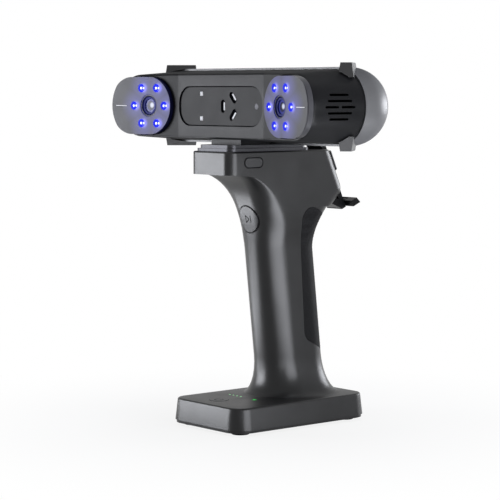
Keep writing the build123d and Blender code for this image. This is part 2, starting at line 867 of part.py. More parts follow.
def trigger_plane(depth):
    y = grip_line(trigger_z) - grip_depth / 2
    lean = radians(grip_lean_deg)
    plane = Plane(origin=(0, y, trigger_z), x_dir=(1, 0, 0), z_dir=(0, -cos(lean), -sin(lean)))
    return plane.offset(-depth)


def trigger_cylinder(radius, start_depth, end_depth):
    return extrude(trigger_plane(end_depth) * Circle(radius), amount=end_depth - start_depth)


def key_plane(depth):
    origin = (neck_half - depth, key_y, neck_top_z - key_drop)
    return Plane(origin=origin, x_dir=(0, 1, 0), z_dir=(1, 0, 0))


def key_slot(margin, start_depth, end_depth):
    outline = SlotOverall(key_length + 2 * margin, key_height + 2 * margin)
    return extrude(key_plane(end_depth) * outline, amount=end_depth - start_depth)


def power_cylinder(radius, start_z, end_z):
    return rod(radius, (power_x, power_y, start_z), (power_x, power_y, end_z))


def pad_zone(gap):
    lean = tan(radians(pad_lean_deg))
    top = pad_top_z + gap
    low = pad_bottom_z - gap
    far = base_length
    slant = tan(radians(pad_slant_deg))
    front = pad_front_y - gap
    top_y = front - (top - grip_mid_z) * lean
    low_y = front - (low - grip_mid_z) * lean
    far_low = low - (far - low_y) * slant
    far_top = top - (far - top_y) * slant
    face = make_face(Polyline((top_y, top), (low_y, low), (far, far_low), (far, far_top), close=True))
    corners = face.vertices().sort_by(Axis.X)[:2]
    return extrude(Plane.YZ * fillet(corners, pad_corner), amount=neck_width, both=True)


def screw_places():
    front = neck_front_y + handle_wall + handle_boss_radius + overrun / 2
    rear = neck_floor_y - handle_boss_radius
    upper = back_flare_z + handle_boss_radius
    lower = base_top_z + foot_flare_height / 2
    return [
        (front, neck_top_z - neck_front_drop / 2, neck_half),
        (rear, neck_top_z - neck_floor_drop / 2, neck_half),
        (grip_line(upper) - handle_boss_radius, upper, grip_half),
        (grip_line(lower), lower, grip_half),
    ]


def light_places():
    lights = [(light_x + light_pitch * i, light_y, light_diameter / 2) for i in range(light_count)]
    return lights + [(charge_light_x, charge_light_y, charge_light_diameter / 2)]


def usb_slot(inset, start_y, end_y):
    z = base_board_z + board_thickness + port_height / 2
    plane = Plane(origin=(0, end_y, z), x_dir=(-1, 0, 0), z_dir=(0, 1, 0))
    outline = SlotOverall(port_width - 2 * inset, port_height - 2 * inset)
    return extrude(plane * outline, amount=start_y - end_y)


def base_corners():
    x = base_width / 2 + base_draft - foot_inset
    y = base_length / 2 + base_draft - foot_inset
    return [(sx * x, sy * y) for sx in (-1, 1) for sy in (-1, 1)]


def control_posts():
    x = control_board_width / 2 - control_post_radius
    y = control_board_length / 2 - control_post_radius
    return [(sx * x, control_board_y + sy * y) for sx in (-1, 1) for sy in (-1, 1)]


def carrier_screw_rods(radius, start_y, end_y):
    z = carrier_bottom + carrier_length / 2
    places = (-carrier_screw_x, carrier_screw_x)
    return [clamp_plane * rod(radius, (x, start_y, z), (x, end_y, z)) for x in places]


def shoe_screw_places():
    x = (mount_plate_width + dovetail_width) / 4 + shoe_margin / 2
    y = lens_plane_y + mount_plate_setback + mount_plate_length / 2
    reach = mount_plate_length / 2 - mount_corner
    return [(sx * x, y + sy * reach) for sx in (-1, 1) for sy in (-1, 1)]


def handle_shells(grip_outer):
    outer = neck_block(0) + grip_outer + base_block(0)
    inner = neck_block(handle_wall) + grip_loft(handle_wall) + base_block(base_wall)
    cover_top = base_bottom_z + cover_thickness
    floor_cut = block((-base_width, base_width), (-base_length, base_length), (-overrun, cover_top))
    shell = outer - inner - floor_cut
    for y, z, half in screw_places():
        shell += rod(handle_boss_radius, (-half, y, z), (half, y, z)) & outer
    under_top = base_top_z - base_wall / 2
    for x, y in base_corners():
        shell += rod(handle_boss_radius, (x, y, cover_top), (x, y, under_top))
    board_top = neck_top_z - control_board_drop
    for x, y in control_posts():
        shell += rod(control_post_radius, (x, y, board_top), (x, y, neck_top_z - handle_wall / 2))
    for y, z, half in screw_places():
        shell -= rod(handle_screw_radius + seat_gap, (-neck_width, y, z), (half / 2, y, z))
        shell -= rod(handle_screw_head + seat_gap, (-neck_width, y, z), (-half + screw_sink, y, z))
    for x, y in base_corners():
        shell -= rod(base_screw_radius + seat_gap, (x, y, 0), (x, y, cover_top + base_screw_reach))
    for bore in carrier_screw_rods(base_screw_radius + seat_gap, -neck_offset - handle_wall - overrun, 0):
        shell -= bore
    for x, y in shoe_screw_places():
        low_z = neck_top_z - handle_wall - overrun
        shell -= rod(base_screw_radius + seat_gap, (x, y, low_z), (x, y, neck_top_z + overrun))
    shell -= pad_zone(pad_gap) & (grip_outer - grip_loft(pad_depth + seat_gap))
    shell -= trigger_cylinder(trigger_diameter / 2 + slide_gap, -trigger_diameter, trigger_diameter / 2)
    shell -= key_slot(slide_gap, -overrun, handle_wall + overrun)
    low_z = base_top_z - base_wall - overrun
    high_z = base_top_z + overrun
    shell -= power_cylinder(power_diameter / 2 + slide_gap, low_z, high_z)
    for x, y, radius in light_places():
        shell -= rod(radius + seat_gap, (x, y, low_z), (x, y, high_z))
    shell -= usb_slot(0, base_length / 2 - base_wall - overrun, base_length / 2 + base_draft + overrun)
    parts["right_handle_shell"] = split(shell, bisect_by=Plane.YZ, keep=Keep.TOP)
    parts["left_handle_shell"] = split(shell, bisect_by=Plane.YZ, keep=Keep.BOTTOM)
    screws = []
    for y, z, half in screw_places():
        seat = -half + screw_sink
        screw = rod(handle_screw_radius, (seat, y, z), (half / 2 - seat_gap, y, z))
        face = (seat - handle_screw_head_height, y, z)
        head = rod(handle_screw_head, face, (seat, y, z))
        socket = rod(handle_screw_radius, face, (seat - seat_gap * 2, y, z))
        screws.append(screw + head - socket)
    parts["handle_screws"] = Compound(children=screws)
    parts["grip_pad"] = pad_zone(0) & (grip_outer - grip_loft(pad_depth))


# Controls
def control_pieces():
    radius = trigger_diameter / 2
    flange_back = trigger_cap_depth + trigger_flange
    trigger = trigger_cylinder(radius, -trigger_diameter, trigger_cap_depth) & grip_loft(-trigger_proud)
    trigger += trigger_cylinder(radius + trigger_flange_reach, trigger_cap_depth, flange_back)
    trigger += trigger_cylinder(trigger_stem_radius, flange_back, flange_back + trigger_stem_length)
    parts["trigger_button"] = trigger
    switch_face = flange_back + trigger_stem_length + trigger_travel + slide_gap
    switch_back = switch_face + switch_height
    board_half = grip_half - handle_wall - cavity_gap
    switch = extrude(trigger_plane(switch_back) * Rectangle(switch_size, switch_size), amount=switch_height)
    parts["trigger_switch"] = switch
    board = extrude(
        trigger_plane(switch_back + board_thickness) * Rectangle(2 * board_half, switch_board_height),
        amount=board_thickness,
    )
    parts["trigger_board"] = board
    key_back = handle_wall + seat_gap + key_flange
    key = key_slot(0, -key_proud, handle_wall + seat_gap)
    key += key_slot(key_flange_reach + slide_gap, handle_wall + seat_gap, key_back)
    key += extrude(key_plane(key_back + key_stem_length) * Circle(key_stem_radius), amount=key_stem_length)
    parts["release_key"] = key
    latch_face = key_back + key_stem_length
    latch_outline = key_plane(latch_face + latch_thickness) * Rectangle(latch_length, latch_height)
    parts["release_latch"] = extrude(latch_outline, amount=latch_thickness)
    coil = extrude(key_plane(latch_face) * Circle(key_spring_radius), amount=key_stem_length)
    coil -= extrude(key_plane(latch_face) * Circle(key_stem_radius + seat_gap), amount=key_stem_length)
    parts["release_spring"] = coil
    under_top = base_top_z - base_wall - seat_gap
    power = power_cylinder(power_diameter / 2, under_top, base_top_z + power_proud)
    flange_radius = power_diameter / 2 + slide_gap + power_flange_reach
    power += power_cylinder(flange_radius, under_top - power_flange, under_top)
    parts["power_button"] = power
    board_top = base_board_z + board_thickness
    switch_top = under_top - power_flange - power_travel - slide_gap
    parts["power_switch"] = block(
        (power_x - switch_size / 2, power_x + switch_size / 2),
        (power_y - switch_size / 2, power_y + switch_size / 2),
        (board_top, switch_top),
    )
    pipes = [rod(radius, (x, y, board_top), (x, y, base_top_z)) for x, y, radius in light_places()]
    parts["indicator_light_pipes"] = Compound(children=pipes[:-1])
    parts["charge_light_pipe"] = pipes[-1]


# Power pack, boards and base
def handle_inside():
    lean = radians(grip_lean_deg)
    axis = (0, -sin(lean), cos(lean))
    middle = Plane(origin=(0, grip_line(holder_mid_z), holder_mid_z), x_dir=(1, 0, 0), z_dir=axis)
    step = (cell_diameter + cell_gap) / 2
    cells = [middle * Pos(0, side * step) * Cylinder(cell_diameter / 2, cell_length) for side in (-1, 1)]
    parts["battery_cells"] = Compound(children=cells)
    half_width = grip_half - handle_wall - holder_gap
    half_depth = (grip_depth / 2 - handle_wall) * cos(lean) - holder_gap
    corner = grip_corner - handle_wall - holder_gap
    cap = extrude(RectangleRounded(2 * half_width, 2 * half_depth, corner), amount=holder_wall)
    low = Pos(0, 0, -cell_length / 2 - holder_wall) * cap
    high = Pos(0, 0, cell_length / 2) * cap
    web_x = -cell_diameter / 2 - seat_gap
    web = block((web_x - holder_wall, web_x), (-step, step), (-cell_length / 2, cell_length / 2))
    parts["battery_holder"] = middle * (low + web + high)
    board_top = neck_top_z - control_board_drop
    parts["control_board"] = block(
        (-control_board_width / 2, control_board_width / 2),
        (control_board_y - control_board_length / 2, control_board_y + control_board_length / 2),
        (board_top - board_thickness, board_top),
    )
    parts["base_board"] = block(
        (-base_board_width / 2, base_board_width / 2),
        (-base_board_length / 2, base_board_length / 2),
        (base_board_z, base_board_z + board_thickness),
    )
    port_end = base_length / 2 + base_draft / 2 - seat_gap
    port = usb_slot(seat_gap, port_end - port_depth, port_end)
    port -= usb_slot(seat_gap + port_wall, port_end - port_depth + port_wall, port_end + overrun)
    parts["usb_c_port"] = port
    cover_top = base_bottom_z + cover_thickness
    spread = 2 * (base_draft - cover_inset)
    outline = RectangleRounded(base_width + spread, base_length + spread, base_corner)
    cover = extrude(Pos(0, 0, base_bottom_z) * outline, amount=cover_thickness)
    for sx in (-1, 1):
        for sy in (-1, 1):
            x = sx * (base_board_width / 2 - base_board_post_radius)
            y = sy * (base_board_length / 2 - base_board_post_radius)
            cover += rod(base_board_post_radius, (x, y, cover_top), (x, y, base_board_z))
    screws = []
    feet = []
    for x, y in base_corners():
        cover -= rod(base_screw_radius + seat_gap, (x, y, 0), (x, y, cover_top + overrun))
        cover -= rod(base_screw_head + seat_gap, (x, y, 0), (x, y, base_bottom_z + base_screw_head_height))
        head_top = base_bottom_z + base_screw_head_height
        screw = rod(base_screw_radius, (x, y, head_top), (x, y, cover_top + base_screw_reach - seat_gap))
        screws.append(screw + rod(base_screw_head, (x, y, base_bottom_z), (x, y, head_top)))
        foot = rod(foot_radius, (x, y, 0), (x, y, foot_height))
        feet.append(chamfer(foot.faces().sort_by(Axis.Z)[0].edges(), foot_chamfer))
    parts["base_cover"] = cover
    parts["base_screws"] = Compound(children=screws)
    parts["feet"] = Compound(children=feet)


# Phone clamp, drawn on the tilted plane that a phone's back leans on
def clamp_pieces():
    half = stem_width / 2
    pin_z = -jaw_thickness / 2
    stem = block((-half, half), (-stem_depth, 0), (-stem_foot, stem_length))
    stem += rod(jaw_thickness / 2, (-half, lip_pin_y, pin_z), (half, lip_pin_y, pin_z))
    stem += block((-half, half), (-stem_wall, lip_pin_y), (-jaw_thickness, pin_z))
    channel_half = half - stem_wall
    channel_span = (stem_wall - stem_depth, -stem_wall)
    stem -= block((-channel_half, channel_half), channel_span, (0, stem_length + overrun))
    stem -= rod(lip_pin_radius + pin_gap, (-jaw_width, lip_pin_y, pin_z), (jaw_width, lip_pin_y, pin_z))
    stem = clamp_plane * stem
    foot = Vector(0, bulge_foot_y, neck_top_z - bulge_foot_drop)
    slope = radians(bulge_slope_deg)
    along = Vector(0, sin(slope), cos(slope))
    outward = Vector(0, cos(slope), -sin(slope))
    root = [foot + along * reach + outward * seat_gap for reach in (brace_start, brace_end)]
    tip_y = stem_wall / 2 - stem_depth
    tip = [clamp_plane.from_local_coords((0, tip_y, z)) for z in (stem_foot / 2, -stem_foot)]
    brace = make_face(Polyline(*[(p.Y, p.Z) for p in root + tip], close=True))
    stem += extrude(Plane.YZ * brace, amount=half, both=True)
    parts["clamp_stem"] = stem
    carrier_half = carrier_width / 2
    carrier_top = carrier_bottom + carrier_length
    carrier_span = (seat_gap - neck_offset, -carrier_recess)
    carrier = block((-carrier_half, carrier_half), carrier_span, (carrier_bottom, carrier_top))
    carrier = fillet(carrier.faces().sort_by(Axis.Y)[-1].edges(), carrier_round)
    carrier -= block((-half - seat_gap, half + seat_gap), (-stem_depth - seat_gap, 0), (0, stem_length))
    carrier = clamp_plane * carrier
    for bore in carrier_screw_rods(base_screw_radius + seat_gap, -neck_offset, 0):
        carrier -= bore
    seat = -carrier_recess - base_screw_head_height
    for bore in carrier_screw_rods(base_screw_head + seat_gap, seat, 0):
        carrier -= bore
    parts["clamp_carrier"] = carrier
    shanks = carrier_screw_rods(base_screw_radius, -neck_offset - handle_wall, seat)
    heads = carrier_screw_rods(base_screw_head, seat, -carrier_recess - seat_gap)
    parts["clamp_screws"] = Compound(children=[shank + head for shank, head in zip(shanks, heads)])
    jaw_half = jaw_width / 2
    tongue_half = channel_half - tongue_gap
    tongue_front = stem_wall - stem_depth + tongue_gap
    jaw = block((-jaw_half, jaw_half), (tongue_front, jaw_depth), (jaw_opening, jaw_opening + jaw_thickness))
    jaw = fillet(jaw.edges().filter_by(Axis.X), jaw_round)
    inside_jaw = jaw_opening + jaw_round
    hook_span = (jaw_depth - jaw_hook, jaw_depth)
    jaw += block((-jaw_half, jaw_half), hook_span, (jaw_opening - jaw_hook, inside_jaw))
    tongue_low = jaw_opening - jaw_travel - tongue_hold
    tongue_span = (tongue_front, -stem_wall - tongue_gap)
    tongue = block((-tongue_half, tongue_half), tongue_span, (tongue_low, inside_jaw))
    parts["upper_jaw"] = clamp_plane * (jaw + tongue)
    pad_half = jaw_half - jaw_hook
    pad = block((-pad_half, pad_half), (0, jaw_depth - jaw_hook), (jaw_opening - jaw_pad_depth, jaw_opening))
    parts["upper_jaw_pad"] = clamp_plane * pad
    low = -jaw_thickness
    points = [(lip_front, 0), (jaw_depth - lip_bevel, 0), (jaw_depth, low), (lip_front, low)]
    lip = extrude(Plane.YZ * make_face(Polyline(*points, close=True)), amount=jaw_half, both=True)
    notch = half + slide_gap
    notch_end = lip_pin_y + jaw_thickness / 2 + slide_gap
    lip -= block((-notch, notch), (lip_front - overrun, notch_end), (low, 0))
    pin_half = jaw_half - jaw_hook
    lip -= rod(lip_pin_radius + pin_gap, (-pin_half, lip_pin_y, pin_z), (pin_half, lip_pin_y, pin_z))
    parts["lower_lip"] = clamp_plane * lip
    pin_half -= slide_gap
    pin_ends = [(x, lip_pin_y, pin_z) for x in (-pin_half, pin_half)]
    parts["lip_pin"] = clamp_plane * rod(lip_pin_radius, *pin_ends)
    middle_y = -stem_depth / 2
    spring = rod(spring_radius, (0, middle_y, 0), (0, middle_y, tongue_low))
    spring -= rod(spring_radius / 2, (0, middle_y, 0), (0, middle_y, tongue_low))
    parts["clamp_spring"] = clamp_plane * spring


os.makedirs("parts", exist_ok=True)
parts["head_front_shell"] = head_front_shell()
parts["head_rear_shell"] = head_rear_shell()
parts["centre_panel"] = centre_panel()
panel_windows()
eye_pieces()
head_inside()
mount_pieces()
handle_shells(grip_loft(0))
control_pieces()
handle_inside()
clamp_pieces()
for name, shape in parts.items():
    export_step(shape, "parts/" + name + ".step")
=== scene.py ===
import json
from math import atan2, cos, pi, radians, sin

import bmesh
import bpy
from mathutils import Matrix, Vector
from mathutils.bvhtree import BVHTree


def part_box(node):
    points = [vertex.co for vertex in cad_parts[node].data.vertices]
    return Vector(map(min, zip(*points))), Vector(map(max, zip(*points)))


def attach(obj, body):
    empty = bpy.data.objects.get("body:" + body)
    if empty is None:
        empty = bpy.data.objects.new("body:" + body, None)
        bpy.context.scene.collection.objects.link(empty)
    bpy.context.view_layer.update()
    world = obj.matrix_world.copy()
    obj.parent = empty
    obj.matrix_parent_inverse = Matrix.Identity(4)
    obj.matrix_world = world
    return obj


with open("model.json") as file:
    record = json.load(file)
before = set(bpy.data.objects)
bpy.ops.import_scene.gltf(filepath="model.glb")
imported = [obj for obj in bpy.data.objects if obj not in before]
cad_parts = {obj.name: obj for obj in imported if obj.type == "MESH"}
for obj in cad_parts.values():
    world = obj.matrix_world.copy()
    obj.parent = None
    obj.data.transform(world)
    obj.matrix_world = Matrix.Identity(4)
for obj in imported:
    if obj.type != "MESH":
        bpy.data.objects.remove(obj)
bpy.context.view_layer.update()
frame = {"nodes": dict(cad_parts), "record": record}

MM = 0.001
nodes = frame["nodes"]
scene = bpy.context.scene

# Places on the object, in millimetres as the solids have them
LENS = Vector((71.5, -53.0, 224.5))
TOE_IN = radians(10.5)
PLATE_FACE_Z = -0.08
LED_RING = 14.45
LED_COUNT = 6
LED_BORE_RADIUS = 3.02
LENS_WELL_RADIUS = 8.07
RIM_HALF_LINE = 81.4
EAR_RADIUS = 26.75
LASER_X = 9.3
LASER_RING = 7.0
# Place round the ring and turn of each laser window, in degrees
LASERS = ((180.0, 90.0), (57.0, 130.0), (-57.0, 50.0))
LEAN = radians(6.36)
TRIGGER = Vector((0.0, -19.44, 145.4))
KEY = Vector((0.0, -33.4, 185.9))
POWER = Vector((-5.0, -42.5, 19.35))
CHARGE = Vector((10.8, -23.5, 19.2))
PORTS = {"head": Vector((-34.0, 24.5, 224.5)), "base": Vector((0.0, 60.6, 11.65))}

# Gloss of the finishes, as the specular level of the shader
PLAIN = 0.5
GLOSSY = 0.42
SATIN = 0.24
PLATE = 0.14
LENS_GLOSS = 0.12
LED_GLOSS = 0.1
DULL = 0.065
RUBBERY = 0.05
DARK = 0.045
BLACK = 0.0

# Scales of the patterns in the finishes, per metre, and how far roughness strays
CLOUD_SCALE = 45.0
SMEAR_SCALE = 70.0
GRAIN_SCALE = 2600.0
PLATE_GRAIN_SCALE = 1800.0
STREAK_SCALE = 900.0
STREAK_STRETCH = (1.0, 1.0, 30.0)
RUBBER_SMEAR_SCALE = 120.0
TRACK_SCALE = 160.0
BOARD_SMEAR_SCALE = 200.0
SPECK_SCALE = 900.0
PLASTIC_SPREAD = 0.05
RUBBER_SPREAD = 0.06
METAL_SPREAD = 0.06
BOARD_SPREAD = 0.075

# Relief of the finishes: strength, and depth in millimetres
FINE = {"strength": 0.25, "depth": 0.02}
GRAINED = {"strength": 0.5, "depth": 0.04}
POLISHED = {"strength": 0.02, "depth": 0.02}
BRUSHED = {"strength": 0.1, "depth": 0.01}
DOTTED = {"strength": 0.6, "depth": 0.2}

# Light and shade in the eyes, painted on the plates and the lens glass, and the lamps' own glow:
# places and fades in millimetres, then colours
PAINTED_HALO_SHIFT = 2.4
PAINTED_TIGHT_HALO = {"near": 0.8, "far": 5.0, "high": 0.75}
PAINTED_WIDE_HALO = {"near": 1.0, "far": 17.0, "high": 0.2}
PAINTED_WELL_GLOW_SHARE = 0.22
LED_CORE_SHIFTS = (-0.9, 1.8)
LED_CORE = {"near": 3.0, "far": 0.0, "high": 1.0}
# Painted depth shade and a painted glint on the lens glass
LENS_DEPTH_SHADE = {"near": 7.0, "far": 0.0, "high": 1.0}
GLINT_SPOT = Vector((1.3, 0.4, 0.0))
GLINT = {"near": 0.8, "far": 2.6, "high": 0.75}
GLINT_WHITE = (0.8, 0.84, 1.0)
# Painted shade on the plate walls, then the colours of the painted halo and of the painted glow
# in the bores
WALL_SHADE_BLUE = (0.005, 0.006, 0.03)
PAINTED_HALO_BLUE = (0.2, 0.2, 1.0)
PAINTED_BORE_GLOW_BLUE = (0.03, 0.04, 0.75)


# Node helpers
def node(tree, kind, **values):
    made = tree.nodes.new(kind)
    for name, value in values.items():
        setattr(made, name, value)
    return made


def fresh(name):
    made = bpy.data.materials.new(name)
    made.use_nodes = True
    tree = made.node_tree
    return made, tree, tree.nodes["Principled BSDF"]


def colour(rgb):
    return (*rgb, 1.0)


def set_sockets(made, sockets):
    for name, value in sockets.items():
        made.inputs[name].default_value = value


def object_coords(tree, other=None):
    return node(tree, "ShaderNodeTexCoord", object=other).outputs["Object"]


def split(tree, vector):
    made = node(tree, "ShaderNodeSeparateXYZ")
    tree.links.new(vector, made.inputs["Vector"])
    return made.outputs


def calc(tree, operation, first, second=0.0):
    made = node(tree, "ShaderNodeMath", operation=operation)
    for socket, value in zip(made.inputs, (first, second)):
        if isinstance(value, float):
            socket.default_value = value
        else:
            tree.links.new(value, socket)
    return made.outputs["Value"]


def remap(tree, value, start, end, low, high, curve="LINEAR"):
    made = node(tree, "ShaderNodeMapRange", interpolation_type=curve)
    set_sockets(made, {"From Min": start, "From Max": end, "To Min": low, "To Max": high})
    tree.links.new(value, made.inputs["Value"])
    return made.outputs["Result"]


def ramp(tree, value, stops):
    made = node(tree, "ShaderNodeValToRGB")
    elements = made.color_ramp.elements
    elements[0].position, elements[0].color = stops[0][0], colour(stops[0][1])
    elements[1].position, elements[1].color = stops[-1][0], colour(stops[-1][1])
    for place, rgb in stops[1:-1]:
        elements.new(place).color = colour(rgb)
    tree.links.new(value, made.inputs["Fac"])
    return made.outputs["Color"]


def mix(tree, share, first, second):
    made = node(tree, "ShaderNodeMix", data_type="RGBA")
    for name, value in (("Factor", share), ("A", first), ("B", second)):
        if isinstance(value, tuple):
            made.inputs[name].default_value = colour(value)
        else:
            tree.links.new(value, made.inputs[name])
    return made.outputs["Result"]


def noise(tree, coords, scale, detail=3.0):
    made = node(tree, "ShaderNodeTexNoise")
    set_sockets(made, {"Scale": scale, "Detail": detail})
    tree.links.new(coords, made.inputs["Vector"])
    return made.outputs["Fac"]


def roughen(tree, shader, value, middle, spread):
    rough = remap(tree, value, 0.0, 1.0, middle - spread, middle + spread)
    tree.links.new(rough, shader.inputs["Roughness"])


def bump(tree, shader, height, strength, depth):
    made = node(tree, "ShaderNodeBump")
    set_sockets(made, {"Strength": strength, "Distance": depth * MM})
    tree.links.new(height, made.inputs["Height"])
    tree.links.new(made.outputs["Normal"], shader.inputs["Normal"])


# Kinds of finish
def moulded(name, low, high, rough, gloss, relief=FINE, grain=GRAIN_SCALE):
    made, tree, shader = fresh(name)
    coords = object_coords(tree)
    tint = ramp(tree, noise(tree, coords, CLOUD_SCALE), [(0.35, low), (0.65, high)])
    tree.links.new(tint, shader.inputs["Base Color"])
    smear = noise(tree, coords, SMEAR_SCALE, detail=4.0)
    roughen(tree, shader, smear, rough, PLASTIC_SPREAD)
    bump(tree, shader, noise(tree, coords, grain, detail=2.0), **relief)
    set_sockets(shader, {"Specular IOR Level": gloss})
    return made


def metal(name, low, high, rough):
    made, tree, shader = fresh(name)
    stretch = node(tree, "ShaderNodeMapping")
    set_sockets(stretch, {"Scale": STREAK_STRETCH})
    tree.links.new(object_coords(tree), stretch.inputs["Vector"])
    streak = noise(tree, stretch.outputs["Vector"], STREAK_SCALE, detail=4.0)
    tree.links.new(ramp(tree, streak, [(0.3, low), (0.7, high)]), shader.inputs["Base Color"])
    roughen(tree, shader, streak, rough, METAL_SPREAD)
    bump(tree, shader, streak, **BRUSHED)
    set_sockets(shader, {"Metallic": 1.0})
    return made


def dotted_rubber(name, low, high, rough, pitch):
    made, tree, shader = fresh(name)
    coords = object_coords(tree)
    dots = node(tree, "ShaderNodeTexVoronoi")
    set_sockets(dots, {"Scale": 1.0 / (pitch * MM), "Randomness": 0.25})
    tree.links.new(coords, dots.inputs["Vector"])
    far = dots.outputs["Distance"]
    tree.links.new(ramp(tree, far, [(0.15, high), (0.55, low)]), shader.inputs["Base Color"])
    roughen(tree, shader, noise(tree, coords, RUBBER_SMEAR_SCALE), rough, RUBBER_SPREAD)
    bump(tree, shader, calc(tree, "SUBTRACT", 1.0, far), **DOTTED)
    set_sockets(shader, {"Specular IOR Level": RUBBERY})
    return made


def board(name, rough):
    made, tree, shader = fresh(name)
    coords = object_coords(tree)
    tracks = node(tree, "ShaderNodeTexBrick")
    set_sockets(tracks, {
        "Scale": TRACK_SCALE,
        "Color1": colour((0.012, 0.085, 0.04)),
        "Color2": colour((0.018, 0.11, 0.055)),
        "Mortar": colour((0.03, 0.16, 0.08)),
    })
    tree.links.new(coords, tracks.inputs["Vector"])
    tree.links.new(tracks.outputs["Color"], shader.inputs["Base Color"])
    roughen(tree, shader, noise(tree, coords, BOARD_SMEAR_SCALE), rough, BOARD_SPREAD)
    return made


def glow(name, rgb, edge, strength):
    made, tree, shader = fresh(name)
    specks = noise(tree, object_coords(tree), SPECK_SCALE)
    tint = ramp(tree, specks, [(0.3, edge), (0.7, rgb)])
    for socket in ("Base Color", "Emission Color"):
        tree.links.new(tint, shader.inputs[socket])
    set_sockets(shader, {
        "Emission Strength": strength,
        "Roughness": 0.35,
        "Specular IOR Level": RUBBERY,
    })
    return made


# Faces that look up or down are rougher, as handled and dusted faces are
def matt_level(made, extra, start):
    tree = made.node_tree
    rough = tree.nodes["Principled BSDF"].inputs["Roughness"]
    normal = split(tree, node(tree, "ShaderNodeNewGeometry").outputs["Normal"])
    steep = calc(tree, "ABSOLUTE", normal["Z"])
    level = remap(tree, steep, start, 1.0, 0.0, extra, "SMOOTHSTEP")
    tree.links.new(calc(tree, "ADD", rough.links[0].from_socket, level), rough)


# Painted shade on the ears: they are what stands out from the rim of the head, which is round
# about a middle line, and are painted darker than the rest of the rear shell
def paint_shade_on_ears(made, rgb):
    tree = made.node_tree
    base = tree.nodes["Principled BSDF"].inputs["Base Color"]
    place = split(tree, object_coords(tree))
    past_line = calc(tree, "SUBTRACT", calc(tree, "ABSOLUTE", place["X"]), RIM_HALF_LINE * MM)
    along = calc(tree, "MAXIMUM", past_line, 0.0)
    up = calc(tree, "SUBTRACT", place["Z"], LENS.z * MM)
    along_square = calc(tree, "MULTIPLY", along, along)
    up_square = calc(tree, "MULTIPLY", up, up)
    square = calc(tree, "ADD", along_square, up_square)
    outside = calc(tree, "GREATER_THAN", square, (EAR_RADIUS * MM) ** 2)
    tree.links.new(mix(tree, outside, base.links[0].from_socket, rgb), base)


# Eye frames: x along the plate toward the right of the head, y up, z out of the plate
def eye_matrix(side):
    along = Vector((cos(TOE_IN), -side * sin(TOE_IN), 0.0))
    out = Vector((-side * sin(TOE_IN), -cos(TOE_IN), 0.0))
    up = out.cross(along)
    turn = Matrix((along, up, out)).transposed().to_4x4()
    return Matrix.Translation(Vector((side * LENS.x, LENS.y, LENS.z)) * MM) @ turn


def eye_empty(side):
    made = bpy.data.objects.new("eye_frame_" + ("right" if side > 0 else "left"), None)
    scene.collection.objects.link(made)
    made.matrix_world = eye_matrix(side)
    return made


def led_spots():
    turns = [2 * pi * i / LED_COUNT for i in range(LED_COUNT)]
    return [Vector((LED_RING * cos(a), LED_RING * sin(a), 0.0)) * MM for a in turns]


def flattened(tree, coords):
    made = node(tree, "ShaderNodeVectorMath", operation="MULTIPLY")
    made.inputs[1].default_value = (1.0, 1.0, 0.0)
    tree.links.new(coords, made.inputs[0])
    return made.outputs["Vector"]


def distance(tree, flat, spot=(0.0, 0.0, 0.0)):
    made = node(tree, "ShaderNodeVectorMath", operation="DISTANCE")
    made.inputs[1].default_value = spot
    tree.links.new(flat, made.inputs[0])
    return made.outputs["Value"]


def led_distance(tree, flat, shifts):
    spots = [spot + Vector((shift * MM, 0.0, 0.0)) for spot in led_spots() for shift in shifts]
    nearest = distance(tree, flat, spots[0])
    for spot in spots[1:]:
        nearest = calc(tree, "MINIMUM", nearest, distance(tree, flat, spot))
    return nearest


def fade(tree, value, near, far, high):
    return remap(tree, value, near * MM, far * MM, high, 0.0, "SMOOTHERSTEP")


# The plate is pale, but for painted shade on the walls toward the middle of the head; painted
# glow from its lamps spreads over its face and fills the lamp bores and the lens well
def plate_finish_with_painted_light(name, eye, side):
    low, high = (0.04, 0.04, 0.046), (0.048, 0.048, 0.054)
    made = moulded(name, low, high, rough=0.34, gloss=PLATE, grain=PLATE_GRAIN_SCALE)
    tree = made.node_tree
    shader = tree.nodes["Principled BSDF"]
    coords = object_coords(tree, eye)
    flat = flattened(tree, coords)
    place = split(tree, coords)
    # Painted shade on the walls toward the middle of the head
    face = calc(tree, "GREATER_THAN", place["Z"], PLATE_FACE_Z * MM)
    outer = calc(tree, "GREATER_THAN", calc(tree, "MULTIPLY", place["X"], float(side)), 0.0)
    pale = calc(tree, "MAXIMUM", face, outer)
    base = shader.inputs["Base Color"]
    tree.links.new(mix(tree, pale, WALL_SHADE_BLUE, base.links[0].from_socket), base)

    # Painted halo of the lamps over the face of the plate, and painted glow inside the lamp
    # bores and the lens well
    nearest = led_distance(tree, flat, (PAINTED_HALO_SHIFT,))
    tight = fade(tree, nearest, **PAINTED_TIGHT_HALO)
    wide = fade(tree, nearest, **PAINTED_WIDE_HALO)
    halo = calc(tree, "MULTIPLY", calc(tree, "ADD", tight, wide), face)
    bore = calc(tree, "LESS_THAN", led_distance(tree, flat, (0.0,)), LED_BORE_RADIUS * MM)
    well = calc(tree, "LESS_THAN", distance(tree, flat), LENS_WELL_RADIUS * MM)
    painted_bore_glow = calc(tree, "ADD", bore, calc(tree, "MULTIPLY", well, PAINTED_WELL_GLOW_SHARE))
    tree.links.new(calc(tree, "ADD", halo, painted_bore_glow), shader.inputs["Emission Strength"])
    inside = calc(tree, "MAXIMUM", bore, well)
    tree.links.new(mix(tree, inside, PAINTED_HALO_BLUE, PAINTED_BORE_GLOW_BLUE), shader.inputs["Emission Color"])
    return made


